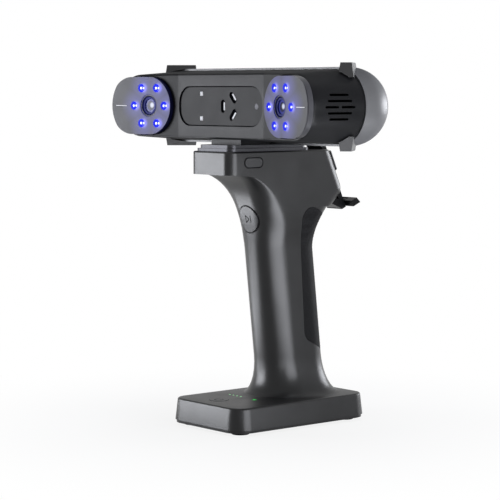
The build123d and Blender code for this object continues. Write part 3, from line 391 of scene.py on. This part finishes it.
def led_finish(name, eye):
    made, tree, shader = fresh(name)
    flat = flattened(tree, object_coords(tree, eye))
    nearest = led_distance(tree, flat, LED_CORE_SHIFTS)
    core = ramp(tree, fade(tree, nearest, **LED_CORE), [
        (0.0, (1.0, 1.0, 1.0)),
        (0.06, (0.85, 0.87, 1.0)),
        (0.2, (0.03, 0.05, 0.95)),
        (1.0, (0.008, 0.012, 0.7)),
    ])
    for socket in ("Emission Color", "Base Color"):
        tree.links.new(core, shader.inputs[socket])
    set_sockets(shader, {
        "Emission Strength": 1.0,
        "Roughness": 0.2,
        "Specular IOR Level": LED_GLOSS,
    })
    return made


# The lens glass is painted darker in its middle as shade deep in the barrel, and a painted
# glint, a reflection, lights it right of the middle
def lens_finish(name, eye):
    made, tree, shader = fresh(name)
    flat = flattened(tree, object_coords(tree, eye))
    glass = ramp(tree, fade(tree, distance(tree, flat), **LENS_DEPTH_SHADE), [
        (0.0, (0.004, 0.005, 0.03)),
        (0.4, (0.008, 0.01, 0.06)),
        (0.5, (0.03, 0.036, 0.24)),
        (1.0, (0.04, 0.05, 0.3)),
    ])
    tree.links.new(glass, shader.inputs["Base Color"])
    glint = fade(tree, distance(tree, flat, GLINT_SPOT * MM), **GLINT)
    tree.links.new(glint, shader.inputs["Emission Strength"])
    set_sockets(shader, {
        "Emission Color": colour(GLINT_WHITE),
        "Roughness": 0.12,
        "Specular IOR Level": LENS_GLOSS,
    })
    return made


# The finishes: darker colour, lighter colour, roughness and gloss of each plastic
plastics = {
    "shell_plastic": ((0.005, 0.0051, 0.0056), (0.0065, 0.0066, 0.0071), 0.31, SATIN),
    # rear_plastic is the same dark plastic as the shell, painted lighter as if lit
    "rear_plastic": ((0.058, 0.0585, 0.062), (0.07, 0.0705, 0.075), 0.38, GLOSSY),
    "front_plastic": ((0.006, 0.0062, 0.0072), (0.008, 0.0082, 0.0092), 0.32, DULL),
    "panel_plastic": ((0.005, 0.0052, 0.006), (0.007, 0.0072, 0.008), 0.34, DARK),
    # barrel_black is black, tinted navy with the painted blue glow of the eye lamps
    "barrel_black": ((0.02, 0.024, 0.13), (0.03, 0.035, 0.18), 0.4, DARK),
    "window_black": ((0.002, 0.002, 0.003), (0.004, 0.004, 0.005), 0.2, BLACK),
    "button_plastic": ((0.012, 0.0122, 0.0135), (0.016, 0.0162, 0.0175), 0.32, SATIN),
    "clamp_plastic": ((0.003, 0.003, 0.0035), (0.005, 0.005, 0.0055), 0.3, DULL),
    "switch_plastic": ((0.02, 0.02, 0.02), (0.03, 0.03, 0.03), 0.5, PLAIN),
    "cell_wrap": ((0.02, 0.07, 0.2), (0.03, 0.09, 0.24), 0.3, PLAIN),
    "dark_mark": ((0.006, 0.006, 0.0065), (0.009, 0.009, 0.0095), 0.6, BLACK),
    "camera_dot": ((0.13, 0.13, 0.145), (0.17, 0.17, 0.185), 0.3, DARK),
}
reliefs = {"shell_plastic": GRAINED, "rear_plastic": GRAINED, "window_black": POLISHED}
# Darker colour, lighter colour and roughness of each metal
metals = {
    "steel": ((0.3, 0.3, 0.31), (0.42, 0.42, 0.43), 0.3),
    "mount_aluminium": ((0.022, 0.022, 0.024), (0.034, 0.034, 0.037), 0.38),
    "brass": ((0.5, 0.36, 0.12), (0.62, 0.46, 0.18), 0.3),
}
# Colour, colour of the specks and strength of each light; white_mark is print, no lamp, so its
# small strength is a painted glow
lights = {
    "white_diffuser": ((0.7, 0.7, 0.72), (0.42, 0.42, 0.44), 0.02),
    "green_light": ((0.05, 0.8, 0.12), (0.03, 0.6, 0.08), 0.8),
    "pale_light": ((0.25, 0.8, 0.3), (0.15, 0.65, 0.2), 0.9),
    # Print with a painted glow
    "white_mark": ((0.78, 0.78, 0.8), (0.6, 0.6, 0.62), 0.04),
}
finish = {name: moulded(name, *look, reliefs.get(name, FINE)) for name, look in plastics.items()}
finish.update({name: metal(name, *look) for name, look in metals.items()})
finish.update({name: glow(name, *look) for name, look in lights.items()})
finish["black_rubber"] = dotted_rubber(
    "black_rubber", (0.003, 0.003, 0.0035), (0.011, 0.011, 0.012), rough=0.6, pitch=1.1)
finish["circuit_board"] = board("circuit_board", rough=0.375)
# Finish, roughness added on level faces, and the slope where that starts
for name, extra, start in (
    ("shell_plastic", 0.14, 0.5),
    ("button_plastic", 0.14, 0.5),
    ("front_plastic", 0.45, 0.5),
    ("rear_plastic", 0.6, 0.05),
):
    matt_level(finish[name], extra, start)
# Painted shade on the ears of the rear shell
paint_shade_on_ears(finish["rear_plastic"], (0.012, 0.012, 0.013))

right_eye = eye_empty(1)
left_eye = eye_empty(-1)
own_finish = {
    "right_eye_plate": plate_finish_with_painted_light("right_plate", right_eye, 1),
    "left_eye_plate": plate_finish_with_painted_light("left_plate", left_eye, -1),
    "right_eye_leds": led_finish("right_leds", right_eye),
    "left_eye_leds": led_finish("left_leds", left_eye),
    "right_lens": lens_finish("right_lens_glass", right_eye),
    "left_lens": lens_finish("left_lens_glass", left_eye),
    "colour_camera_window": finish["camera_dot"],
    "head_front_shell": finish["front_plastic"],
}


# Shading of the solids: soft over small steps, crisp over real edges
CRISP_ANGLE = radians(24.0)
WELD = 0.002 * MM


def smooth_group():
    group = bpy.data.node_groups.new("soft_shading", "GeometryNodeTree")
    for way in ("INPUT", "OUTPUT"):
        group.interface.new_socket("Geometry", in_out=way, socket_type="NodeSocketGeometry")
    plain = node(group, "GeometryNodeRemoveAttribute")
    plain.inputs["Name"].default_value = "custom_normal"
    weld = node(group, "GeometryNodeMergeByDistance")
    weld.inputs["Distance"].default_value = WELD
    soft = node(group, "GeometryNodeSetShadeSmooth")
    angle = node(group, "GeometryNodeInputMeshEdgeAngle")
    small = node(group, "FunctionNodeCompare", operation="LESS_EQUAL")
    small.inputs["B"].default_value = CRISP_ANGLE
    crisp = node(group, "GeometryNodeSetShadeSmooth", domain="EDGE")
    start, end = node(group, "NodeGroupInput"), node(group, "NodeGroupOutput")
    chain = [start, plain, weld, soft, crisp, end]
    for before, after in zip(chain, chain[1:]):
        group.links.new(before.outputs["Geometry"], after.inputs["Geometry"])
    group.links.new(angle.outputs["Unsigned Angle"], small.inputs["A"])
    group.links.new(small.outputs["Result"], crisp.inputs["Shade Smooth"])
    return group


slots = {row["node"]: row["material_slot"] for row in frame["record"]["subparts"]}
shading = smooth_group()
for name, solid in nodes.items():
    solid.data.materials.clear()
    solid.data.materials.append(own_finish.get(name) or finish[slots[name]])
    solid.modifiers.new("soft_shading", "NODES").node_group = shading


# Shapes of the new pieces, in millimetres
def prism(outline, thickness):
    def build(shape):
        low = [shape.verts.new((x * MM, y * MM, 0.0)) for x, y in outline]
        high = [shape.verts.new((x * MM, y * MM, thickness * MM)) for x, y in outline]
        shape.faces.new(list(reversed(low)))
        shape.faces.new(high)
        for i in range(len(outline)):
            j = (i + 1) % len(outline)
            shape.faces.new((low[i], low[j], high[j], high[i]))
    return build


def bar(length, width, thickness, steps=8):
    outline = []
    for end in (1, -1):
        for i in range(steps + 1):
            a = -pi / 2 + pi * i / steps + (0 if end > 0 else pi)
            outline.append((end * (length - width) / 2 + width / 2 * cos(a), width / 2 * sin(a)))
    return prism(outline, thickness)


def stitch(shape, one, two):
    for k in range(4):
        shape.faces.new((one[k], one[(k + 1) % 4], two[(k + 1) % 4], two[k]))


def ring(radius, width, thickness, start=0.0, end=2 * pi, steps=48):
    closed = end - start > 2 * pi - 0.001
    low, high = radius - width / 2, radius + width / 2
    profile = ((low, 0), (high, 0), (high, thickness), (low, thickness))

    def build(shape):
        rows = []
        for i in range(steps + (0 if closed else 1)):
            a = start + (end - start) * i / steps
            rows.append([
                shape.verts.new((r * cos(a) * MM, r * sin(a) * MM, z * MM)) for r, z in profile
            ])
        for i in range(steps):
            stitch(shape, rows[i], rows[(i + 1) % len(rows)])
        if not closed:
            shape.faces.new(rows[0])
            shape.faces.new(list(reversed(rows[-1])))
    return build


def rounded(width, height, corner, steps=10):
    outline = []
    for k, (sx, sy) in enumerate(((1, 1), (-1, 1), (-1, -1), (1, -1))):
        for i in range(steps + 1):
            a = pi / 2 * (k + i / steps)
            x = sx * (width / 2 - corner) + corner * cos(a)
            y = sy * (height / 2 - corner) + corner * sin(a)
            outline.append((x, y))
    return outline


def band(outer, inner, thickness):
    def build(shape):
        rows = []
        for (ox, oy), (ix, iy) in zip(outer, inner):
            profile = ((ix, iy, 0), (ox, oy, 0), (ox, oy, thickness), (ix, iy, thickness))
            rows.append([shape.verts.new((x * MM, y * MM, z * MM)) for x, y, z in profile])
        for i in range(len(rows)):
            stitch(shape, rows[i - 1], rows[i])
    return build


def several(*builders):
    def build(shape):
        for one in builders:
            one(shape)
    return build


def moved(builder, dx, dy, turn=0.0):
    def build(shape):
        before = set(shape.verts)
        builder(shape)
        new = [v for v in shape.verts if v not in before]
        bmesh.ops.rotate(shape, verts=new, matrix=Matrix.Rotation(turn, 3, "Z"))
        bmesh.ops.translate(shape, verts=new, vec=Vector((dx, dy, 0.0)) * MM)
    return build


def stroke(start, end, width, thickness, steps=8):
    along = Vector(end) - Vector(start)
    half = width / 2
    strip = []
    for i in range(steps):
        low, high = along.length * i / steps, along.length * (i + 1) / steps
        strip.append(prism([(low, -half), (high, -half), (high, half), (low, half)], thickness))
    return moved(several(*strip), start[0], start[1], atan2(along.y, along.x))


# Shapes laid on curved faces: each vertex is dropped onto the solids
LAID_SINK = 0.01
DROP = 20.0


def tree_of(*solid_names):
    shape = bmesh.new()
    for name in solid_names:
        shape.from_mesh(nodes[name].data)
    found = BVHTree.FromBMesh(shape)
    shape.free()
    return found


def laid(builder, solid_names, matrix, drop=DROP):
    skin = tree_of(*solid_names)
    out = matrix.to_3x3() @ Vector((0.0, 0.0, 1.0))

    def build(shape):
        builder(shape)
        for v in shape.verts:
            start = matrix @ Vector((v.co.x, v.co.y, drop * MM))
            v.co = skin.ray_cast(start, -out)[0] + out * (v.co.z - LAID_SINK * MM)
    return build


def piece(name, mesh_maker, material, body, matrix=None):
    shape = bmesh.new()
    mesh_maker(shape)
    mesh = bpy.data.meshes.new(name)
    if matrix is not None:
        shape.transform(matrix)
    bmesh.ops.recalc_face_normals(shape, faces=shape.faces)
    shape.to_mesh(mesh)
    shape.free()
    mesh.materials.append(material)
    made = bpy.data.objects.new(name, mesh)
    scene.collection.objects.link(made)
    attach(made, body)
    return made


# Thickness of the marks
THIN_PAINT = 0.04
PAINT = 0.05
THICK_PAINT = 0.06

# Eye details: a white dash outward of each lens, and a ring and a rim in the lens well
DASH_LENGTH = 10.5
DASH_WIDTH = 0.5
DASH_X = 26.7
LENS_RING = {"radius": 5.6, "width": 1.3, "thickness": 0.7}
LENS_RING_Z = -2.1
BARREL_RIM = {"radius": 7.45, "width": 0.7, "thickness": 0.35}
BARREL_RIM_Z = -0.85
for label, side, eye in (("right", 1, right_eye), ("left", -1, left_eye)):
    plate = eye.matrix_world
    dash = moved(bar(DASH_LENGTH, DASH_WIDTH, PAINT), side * DASH_X, 0.0)
    piece(label + "_plate_dash", dash, finish["white_mark"], "frame", plate)
    sunk = plate @ Matrix.Translation((0.0, 0.0, LENS_RING_Z * MM))
    well_ring = ring(**LENS_RING)
    piece(label + "_lens_ring", well_ring, finish["barrel_black"], "frame", sunk)
    sunk = plate @ Matrix.Translation((0.0, 0.0, BARREL_RIM_Z * MM))
    rim = ring(**BARREL_RIM)
    piece(label + "_barrel_rim", rim, finish["mount_aluminium"], "frame", sunk)


# Centre panel: a dark band of painted shade in the gap round it, and a painted reflection in
# each laser window
PANEL_WIDTH = 89.5
PANEL_HEIGHT = 26.3
PANEL_CORNER = 11.3
PANEL_GAP_SHADE_WIDTH = 0.6
LASER_REFLECTION_BAR = {"length": 5.6, "width": 1.3, "thickness": 0.1}
LASER_REFLECTION_SHIFT = 0.8


def facing_front(solid_name):
    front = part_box(solid_name)[0][1]
    turn = Matrix(((1, 0, 0), (0, 0, -1), (0, 1, 0))).to_4x4()
    return Matrix.Translation((0.0, front, LENS.z * MM)) @ turn


# Painted shade: a dark band over the gap round the panel
panel_outer = rounded(
    PANEL_WIDTH + 2 * PANEL_GAP_SHADE_WIDTH, PANEL_HEIGHT + 2 * PANEL_GAP_SHADE_WIDTH, PANEL_CORNER + PANEL_GAP_SHADE_WIDTH)
panel_inner = rounded(PANEL_WIDTH, PANEL_HEIGHT, PANEL_CORNER)
panel_matrix = facing_front("centre_panel")
panel_gap_shade_band = band(panel_outer, panel_inner, THICK_PAINT)
piece("panel_gap_shade", panel_gap_shade_band, finish["window_black"], "frame", panel_matrix)

# Painted reflections: a white bar toward one side of each laser window's floor
reflection_bars = []
for place, turn in LASERS:
    side_x, side_z = sin(radians(turn)), -cos(radians(turn))
    x = LASER_X + LASER_RING * cos(radians(place)) + LASER_REFLECTION_SHIFT * side_x
    z = LASER_RING * sin(radians(place)) + LASER_REFLECTION_SHIFT * side_z
    reflection_bars.append(moved(bar(**LASER_REFLECTION_BAR), x, z, radians(turn)))
laser_matrix = facing_front("laser_windows")
painted_reflections = several(*reflection_bars)
piece("laser_painted_reflections", painted_reflections, finish["white_mark"], "frame", laser_matrix)

# Trigger: its sign, and a ring of painted shade in the gap round it on both halves of the handle
ARROW_BACK = -2.6
ARROW_TIP = 0.8
ARROW_HALF_HEIGHT = 2.6
PAUSE_X = 2.4
PAUSE_HALF_HEIGHT = 2.7
SIGN_LINE = 0.55
TRIGGER_GAP_SHADE = {"radius": 10.0, "width": 0.5, "thickness": PAINT, "steps": 96}
trigger_turn = Matrix((
    (1, 0, 0),
    (0, -sin(LEAN), -cos(LEAN)),
    (0, cos(LEAN), -sin(LEAN)),
)).to_4x4()
trigger_matrix = Matrix.Translation(TRIGGER * MM) @ trigger_turn
high = (ARROW_BACK, ARROW_HALF_HEIGHT)
tip = (ARROW_TIP, 0.0)
low = (ARROW_BACK, -ARROW_HALF_HEIGHT)
pause = ((PAUSE_X, -PAUSE_HALF_HEIGHT), (PAUSE_X, PAUSE_HALF_HEIGHT))
lines = [(high, tip), (tip, low), (low, high), pause]
sign = several(*[stroke(start, end, SIGN_LINE, THICK_PAINT) for start, end in lines])
laid_sign = laid(sign, ("trigger_button",), trigger_matrix)
piece("trigger_sign", laid_sign, finish["dark_mark"], "trigger")
handle = ("right_handle_shell", "left_handle_shell")
# Painted shade in the gap round the trigger
trigger_gap_shade = laid(ring(**TRIGGER_GAP_SHADE), handle, trigger_matrix)
piece("trigger_gap_shade", trigger_gap_shade, finish["dark_mark"], "frame")

# Painted shade in the gap round the release key
KEY_WIDTH = 16.3
KEY_HEIGHT = 6.9
KEY_CORNER = 3.4
KEY_OUTER_CORNER = 3.8
KEY_GAP_SHADE_WIDTH = 0.45
KEY_DROP = 40.0
key_turn = Matrix(((0, 0, 1), (1, 0, 0), (0, 1, 0))).to_4x4()
key_matrix = Matrix.Translation(KEY * MM) @ key_turn
key_outer = rounded(KEY_WIDTH + 2 * KEY_GAP_SHADE_WIDTH, KEY_HEIGHT + 2 * KEY_GAP_SHADE_WIDTH, KEY_OUTER_CORNER)
key_inner = rounded(KEY_WIDTH, KEY_HEIGHT, KEY_CORNER)
key_gap_shade = band(key_outer, key_inner, PAINT)
laid_key_gap_shade = laid(key_gap_shade, ("right_handle_shell",), key_matrix, KEY_DROP)
piece("release_gap_shade", laid_key_gap_shade, finish["dark_mark"], "frame")

# Dots on the grip pad, in rows, cast from both sides and from behind
DOT_STEP = 2.2 * MM
DOT_CLEAR = 0.8 * MM
DOT_RADIUS = 0.45 * MM
DOT_HEIGHT = 0.16 * MM
DOT_SINK_SHARE = 0.3
DOT_CORNERS = 6
DOT_COLUMNS = 30
CAST_FROM = 0.1
FACING = 0.5
SIDE_FACE = 0.6
LEFT = Vector((-1.0, 0.0, 0.0))
RIGHT = Vector((1.0, 0.0, 0.0))
BACK = Vector((0.0, 1.0, 0.0))
UP = Vector((0.0, 0.0, 1.0))


def add_dot(shape, spot, normal):
    side = normal.cross(UP).normalized()
    up = side.cross(normal)
    foot = []
    for k in range(DOT_CORNERS):
        a = 2 * pi * k / DOT_CORNERS
        turn = side * cos(a) + up * sin(a)
        sunk = spot - normal * DOT_HEIGHT * DOT_SINK_SHARE
        foot.append(shape.verts.new(sunk + turn * DOT_RADIUS))
    tip = shape.verts.new(spot + normal * DOT_HEIGHT)
    for k in range(DOT_CORNERS):
        shape.faces.new((foot[k], foot[(k + 1) % DOT_CORNERS], tip))
    shape.faces.new(list(reversed(foot)))


def grip_dots(shape):
    skin = tree_of("grip_pad")
    low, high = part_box("grip_pad")
    for out, across in ((LEFT, BACK), (RIGHT, BACK), (BACK, RIGHT)):
        around = [across * DOT_CLEAR, across * -DOT_CLEAR, UP * DOT_CLEAR, UP * -DOT_CLEAR]
        for i in range(int((high[2] - low[2]) / DOT_STEP)):
            row = out * CAST_FROM + UP * (low[2] + i * DOT_STEP)
            for j in range(-DOT_COLUMNS, DOT_COLUMNS + 1):
                start = row + across * (j + 0.5 * (i % 2)) * DOT_STEP
                spot, normal = skin.ray_cast(start, -out)[:2]
                if spot is None or normal.dot(out) < FACING:
                    continue
                if (abs(normal.x) >= SIDE_FACE) != (out.x != 0.0):
                    continue
                near = [skin.ray_cast(start + shift, -out)[0] for shift in around]
                if any(p is None or (p - spot).length > 2 * DOT_CLEAR for p in near):
                    continue
                add_dot(shape, spot, normal)


piece("grip_pad_dots", grip_dots, finish["black_rubber"], "frame")

# Power sign on its button
POWER_RADIUS = 3.0
POWER_LINE = 0.45
POWER_HALF_GAP = radians(35.0)
POWER_BAR_LENGTH = 3.0
POWER_BAR_Y = 2.4
arc_start = pi / 2 + POWER_HALF_GAP
arc_end = 5 * pi / 2 - POWER_HALF_GAP
power_arc = ring(POWER_RADIUS, POWER_LINE, THIN_PAINT, arc_start, arc_end)
power_bar = moved(bar(POWER_BAR_LENGTH, POWER_LINE, THIN_PAINT), 0.0, POWER_BAR_Y, pi / 2)
power_sign = several(power_arc, power_bar)
power_matrix = Matrix.Translation(POWER * MM)
piece("power_sign", power_sign, finish["dark_mark"], "power", power_matrix)

# Charging bolt over its light
BOLT_HALF_HEIGHT = 2.0
BOLT_SHARES = (
    (-0.45, -0.1), (0.15, 1.0), (0.1, 0.175), (0.5, 0.175), (-0.2, -1.0), (-0.075, -0.1))
bolt = [(x * BOLT_HALF_HEIGHT, y * BOLT_HALF_HEIGHT) for x, y in BOLT_SHARES]
bolt_matrix = Matrix.Translation(CHARGE * MM)
piece("charge_bolt", prism(bolt, PAINT), finish["green_light"], "frame", bolt_matrix)

# Tongues inside both ports
TONGUE_WIDTH = 5.6
TONGUE_HEIGHT = 0.7
TONGUE_DEPTH = 4.5
tongue = bar(TONGUE_WIDTH, TONGUE_HEIGHT, TONGUE_DEPTH)
for label, place in PORTS.items():
    tongue_matrix = Matrix.Translation(place * MM) @ Matrix.Rotation(pi / 2, 4, "X")
    name = label + "_port_tongue"
    piece(name, tongue, finish["switch_plastic"], "frame", tongue_matrix)


# Studio, in metres: floor and background are white where seen, and the floor keeps a shadow
FLOOR_REACH = 4.0
FLOOR_Z = -0.0002
FLOOR_GREY = (0.86, 0.86, 0.86)
SHADOW_NEAR = 0.06
SHADOW_FAR = 0.3
NEAR_WHITE_SHARE = 0.85
DIM_WORLD = {"Color": colour((0.9, 0.93, 1.0)), "Strength": 0.2}
WHITE_WORLD = {"Color": colour((1.0, 1.0, 1.0)), "Strength": 1.0}


def seen_share(tree):
    path = node(tree, "ShaderNodeLightPath").outputs
    seen = calc(tree, "MAXIMUM", path["Is Camera Ray"], path["Is Glossy Ray"])
    return calc(tree, "MAXIMUM", seen, path["Is Transmission Ray"])


def far_share(tree):
    far = node(tree, "ShaderNodeVectorMath", operation="LENGTH")
    tree.links.new(object_coords(tree), far.inputs[0])
    return remap(
        tree, far.outputs["Value"], SHADOW_NEAR, SHADOW_FAR, NEAR_WHITE_SHARE, 1.0, "SMOOTHSTEP")


def mix_shaders(tree, share, first, second, output):
    mixed = node(tree, "ShaderNodeMixShader")
    tree.links.new(share, mixed.inputs["Fac"])
    tree.links.new(first.outputs[0], mixed.inputs[1])
    tree.links.new(second.outputs[0], mixed.inputs[2])
    tree.links.new(mixed.outputs["Shader"], node(tree, output).inputs["Surface"])


def floor_finish():
    made = bpy.data.materials.new("floor")
    made.use_nodes = True
    tree = made.node_tree
    tree.nodes.clear()
    matt = node(tree, "ShaderNodeBsdfDiffuse")
    set_sockets(matt, {"Color": colour(FLOOR_GREY)})
    white = node(tree, "ShaderNodeEmission")
    share = calc(tree, "MULTIPLY", seen_share(tree), far_share(tree))
    mix_shaders(tree, share, matt, white, "ShaderNodeOutputMaterial")
    return made


def studio_world():
    made = bpy.data.worlds.new("studio")
    made.use_nodes = True
    tree = made.node_tree
    tree.nodes.clear()
    dim = node(tree, "ShaderNodeBackground")
    set_sockets(dim, DIM_WORLD)
    bright = node(tree, "ShaderNodeBackground")
    set_sockets(bright, WHITE_WORLD)
    mix_shaders(tree, seen_share(tree), dim, bright, "ShaderNodeOutputWorld")
    return made


corners = ((-1, -1), (1, -1), (1, 1), (-1, 1))
floor_mesh = bpy.data.meshes.new("floor")
floor_mesh.from_pydata(
    [(x * FLOOR_REACH, y * FLOOR_REACH, FLOOR_Z) for x, y in corners], [], [(0, 1, 2, 3)])
floor_mesh.materials.append(floor_finish())
floor = bpy.data.objects.new("floor", floor_mesh)
scene.collection.objects.link(floor)
scene.world = studio_world()


# Lamps: soft boxes all round, and low cards that only show as strips of gloss along the grip
LAMP_COLOUR = (0.925, 0.945, 1.0)
MIDDLE = (0.0, 0.0, 0.15)
# Name, place, width, height and power
BOXES = (
    ("front_box", (-1.02, -1.03, 0.2), 0.8, 0.42, 19.0),
    ("right_box", (1.5, 0.17, 0.2), 1.25, 0.42, 22.0),
    ("top_box", (0.0, 0.1, 1.7), 0.8, 0.8, 9.0),
    ("rear_box", (0.25, 1.48, 0.3), 0.9, 0.5, 14.0),
)
CARD_Z = 0.004
# Name, place on the floor, width, depth and power
CARDS = (
    ("front_card", -0.3, -0.27, 0.26, 0.36, 3.0),
    ("right_card", 0.48, -0.1, 0.5, 0.46, 12.0),
)


def aim(obj, place, target):
    obj.location = place
    obj.rotation_euler = (Vector(target) - Vector(place)).to_track_quat("-Z", "Y").to_euler()


def softbox(name, place, target, width, height, power):
    lamp = bpy.data.lights.new(name, "AREA")
    lamp.shape = "RECTANGLE"
    lamp.size, lamp.size_y = width, height
    lamp.energy = power
    lamp.color = LAMP_COLOUR
    made = bpy.data.objects.new(name, lamp)
    made.visible_camera = False
    scene.collection.objects.link(made)
    aim(made, place, target)
    return made


for name, place, width, height, power in BOXES:
    softbox(name, place, MIDDLE, width, height, power)
for name, x, y, width, depth, power in CARDS:
    card = softbox(name, (x, y, CARD_Z), (x, y, 1.0), width, depth, power)
    card.visible_diffuse = False

# Camera, as fitted to the photograph
CAMERA = Vector((1.03276, -0.88495, 0.23563))
CAMERA_AIM = Vector((-0.7634, 0.6406, -0.0828))
LENS_LENGTH = 138.6
SENSOR_WIDTH = 36.0
CAMERA_REACH = 20.0
camera_data = bpy.data.cameras.new("camera")
camera_data.lens = LENS_LENGTH
camera_data.sensor_width = SENSOR_WIDTH
camera_data.clip_end = CAMERA_REACH
camera = bpy.data.objects.new("camera", camera_data)
scene.collection.objects.link(camera)
aim(camera, CAMERA, CAMERA + CAMERA_AIM)
scene.camera = camera
scene.view_settings.view_transform = "Standard"
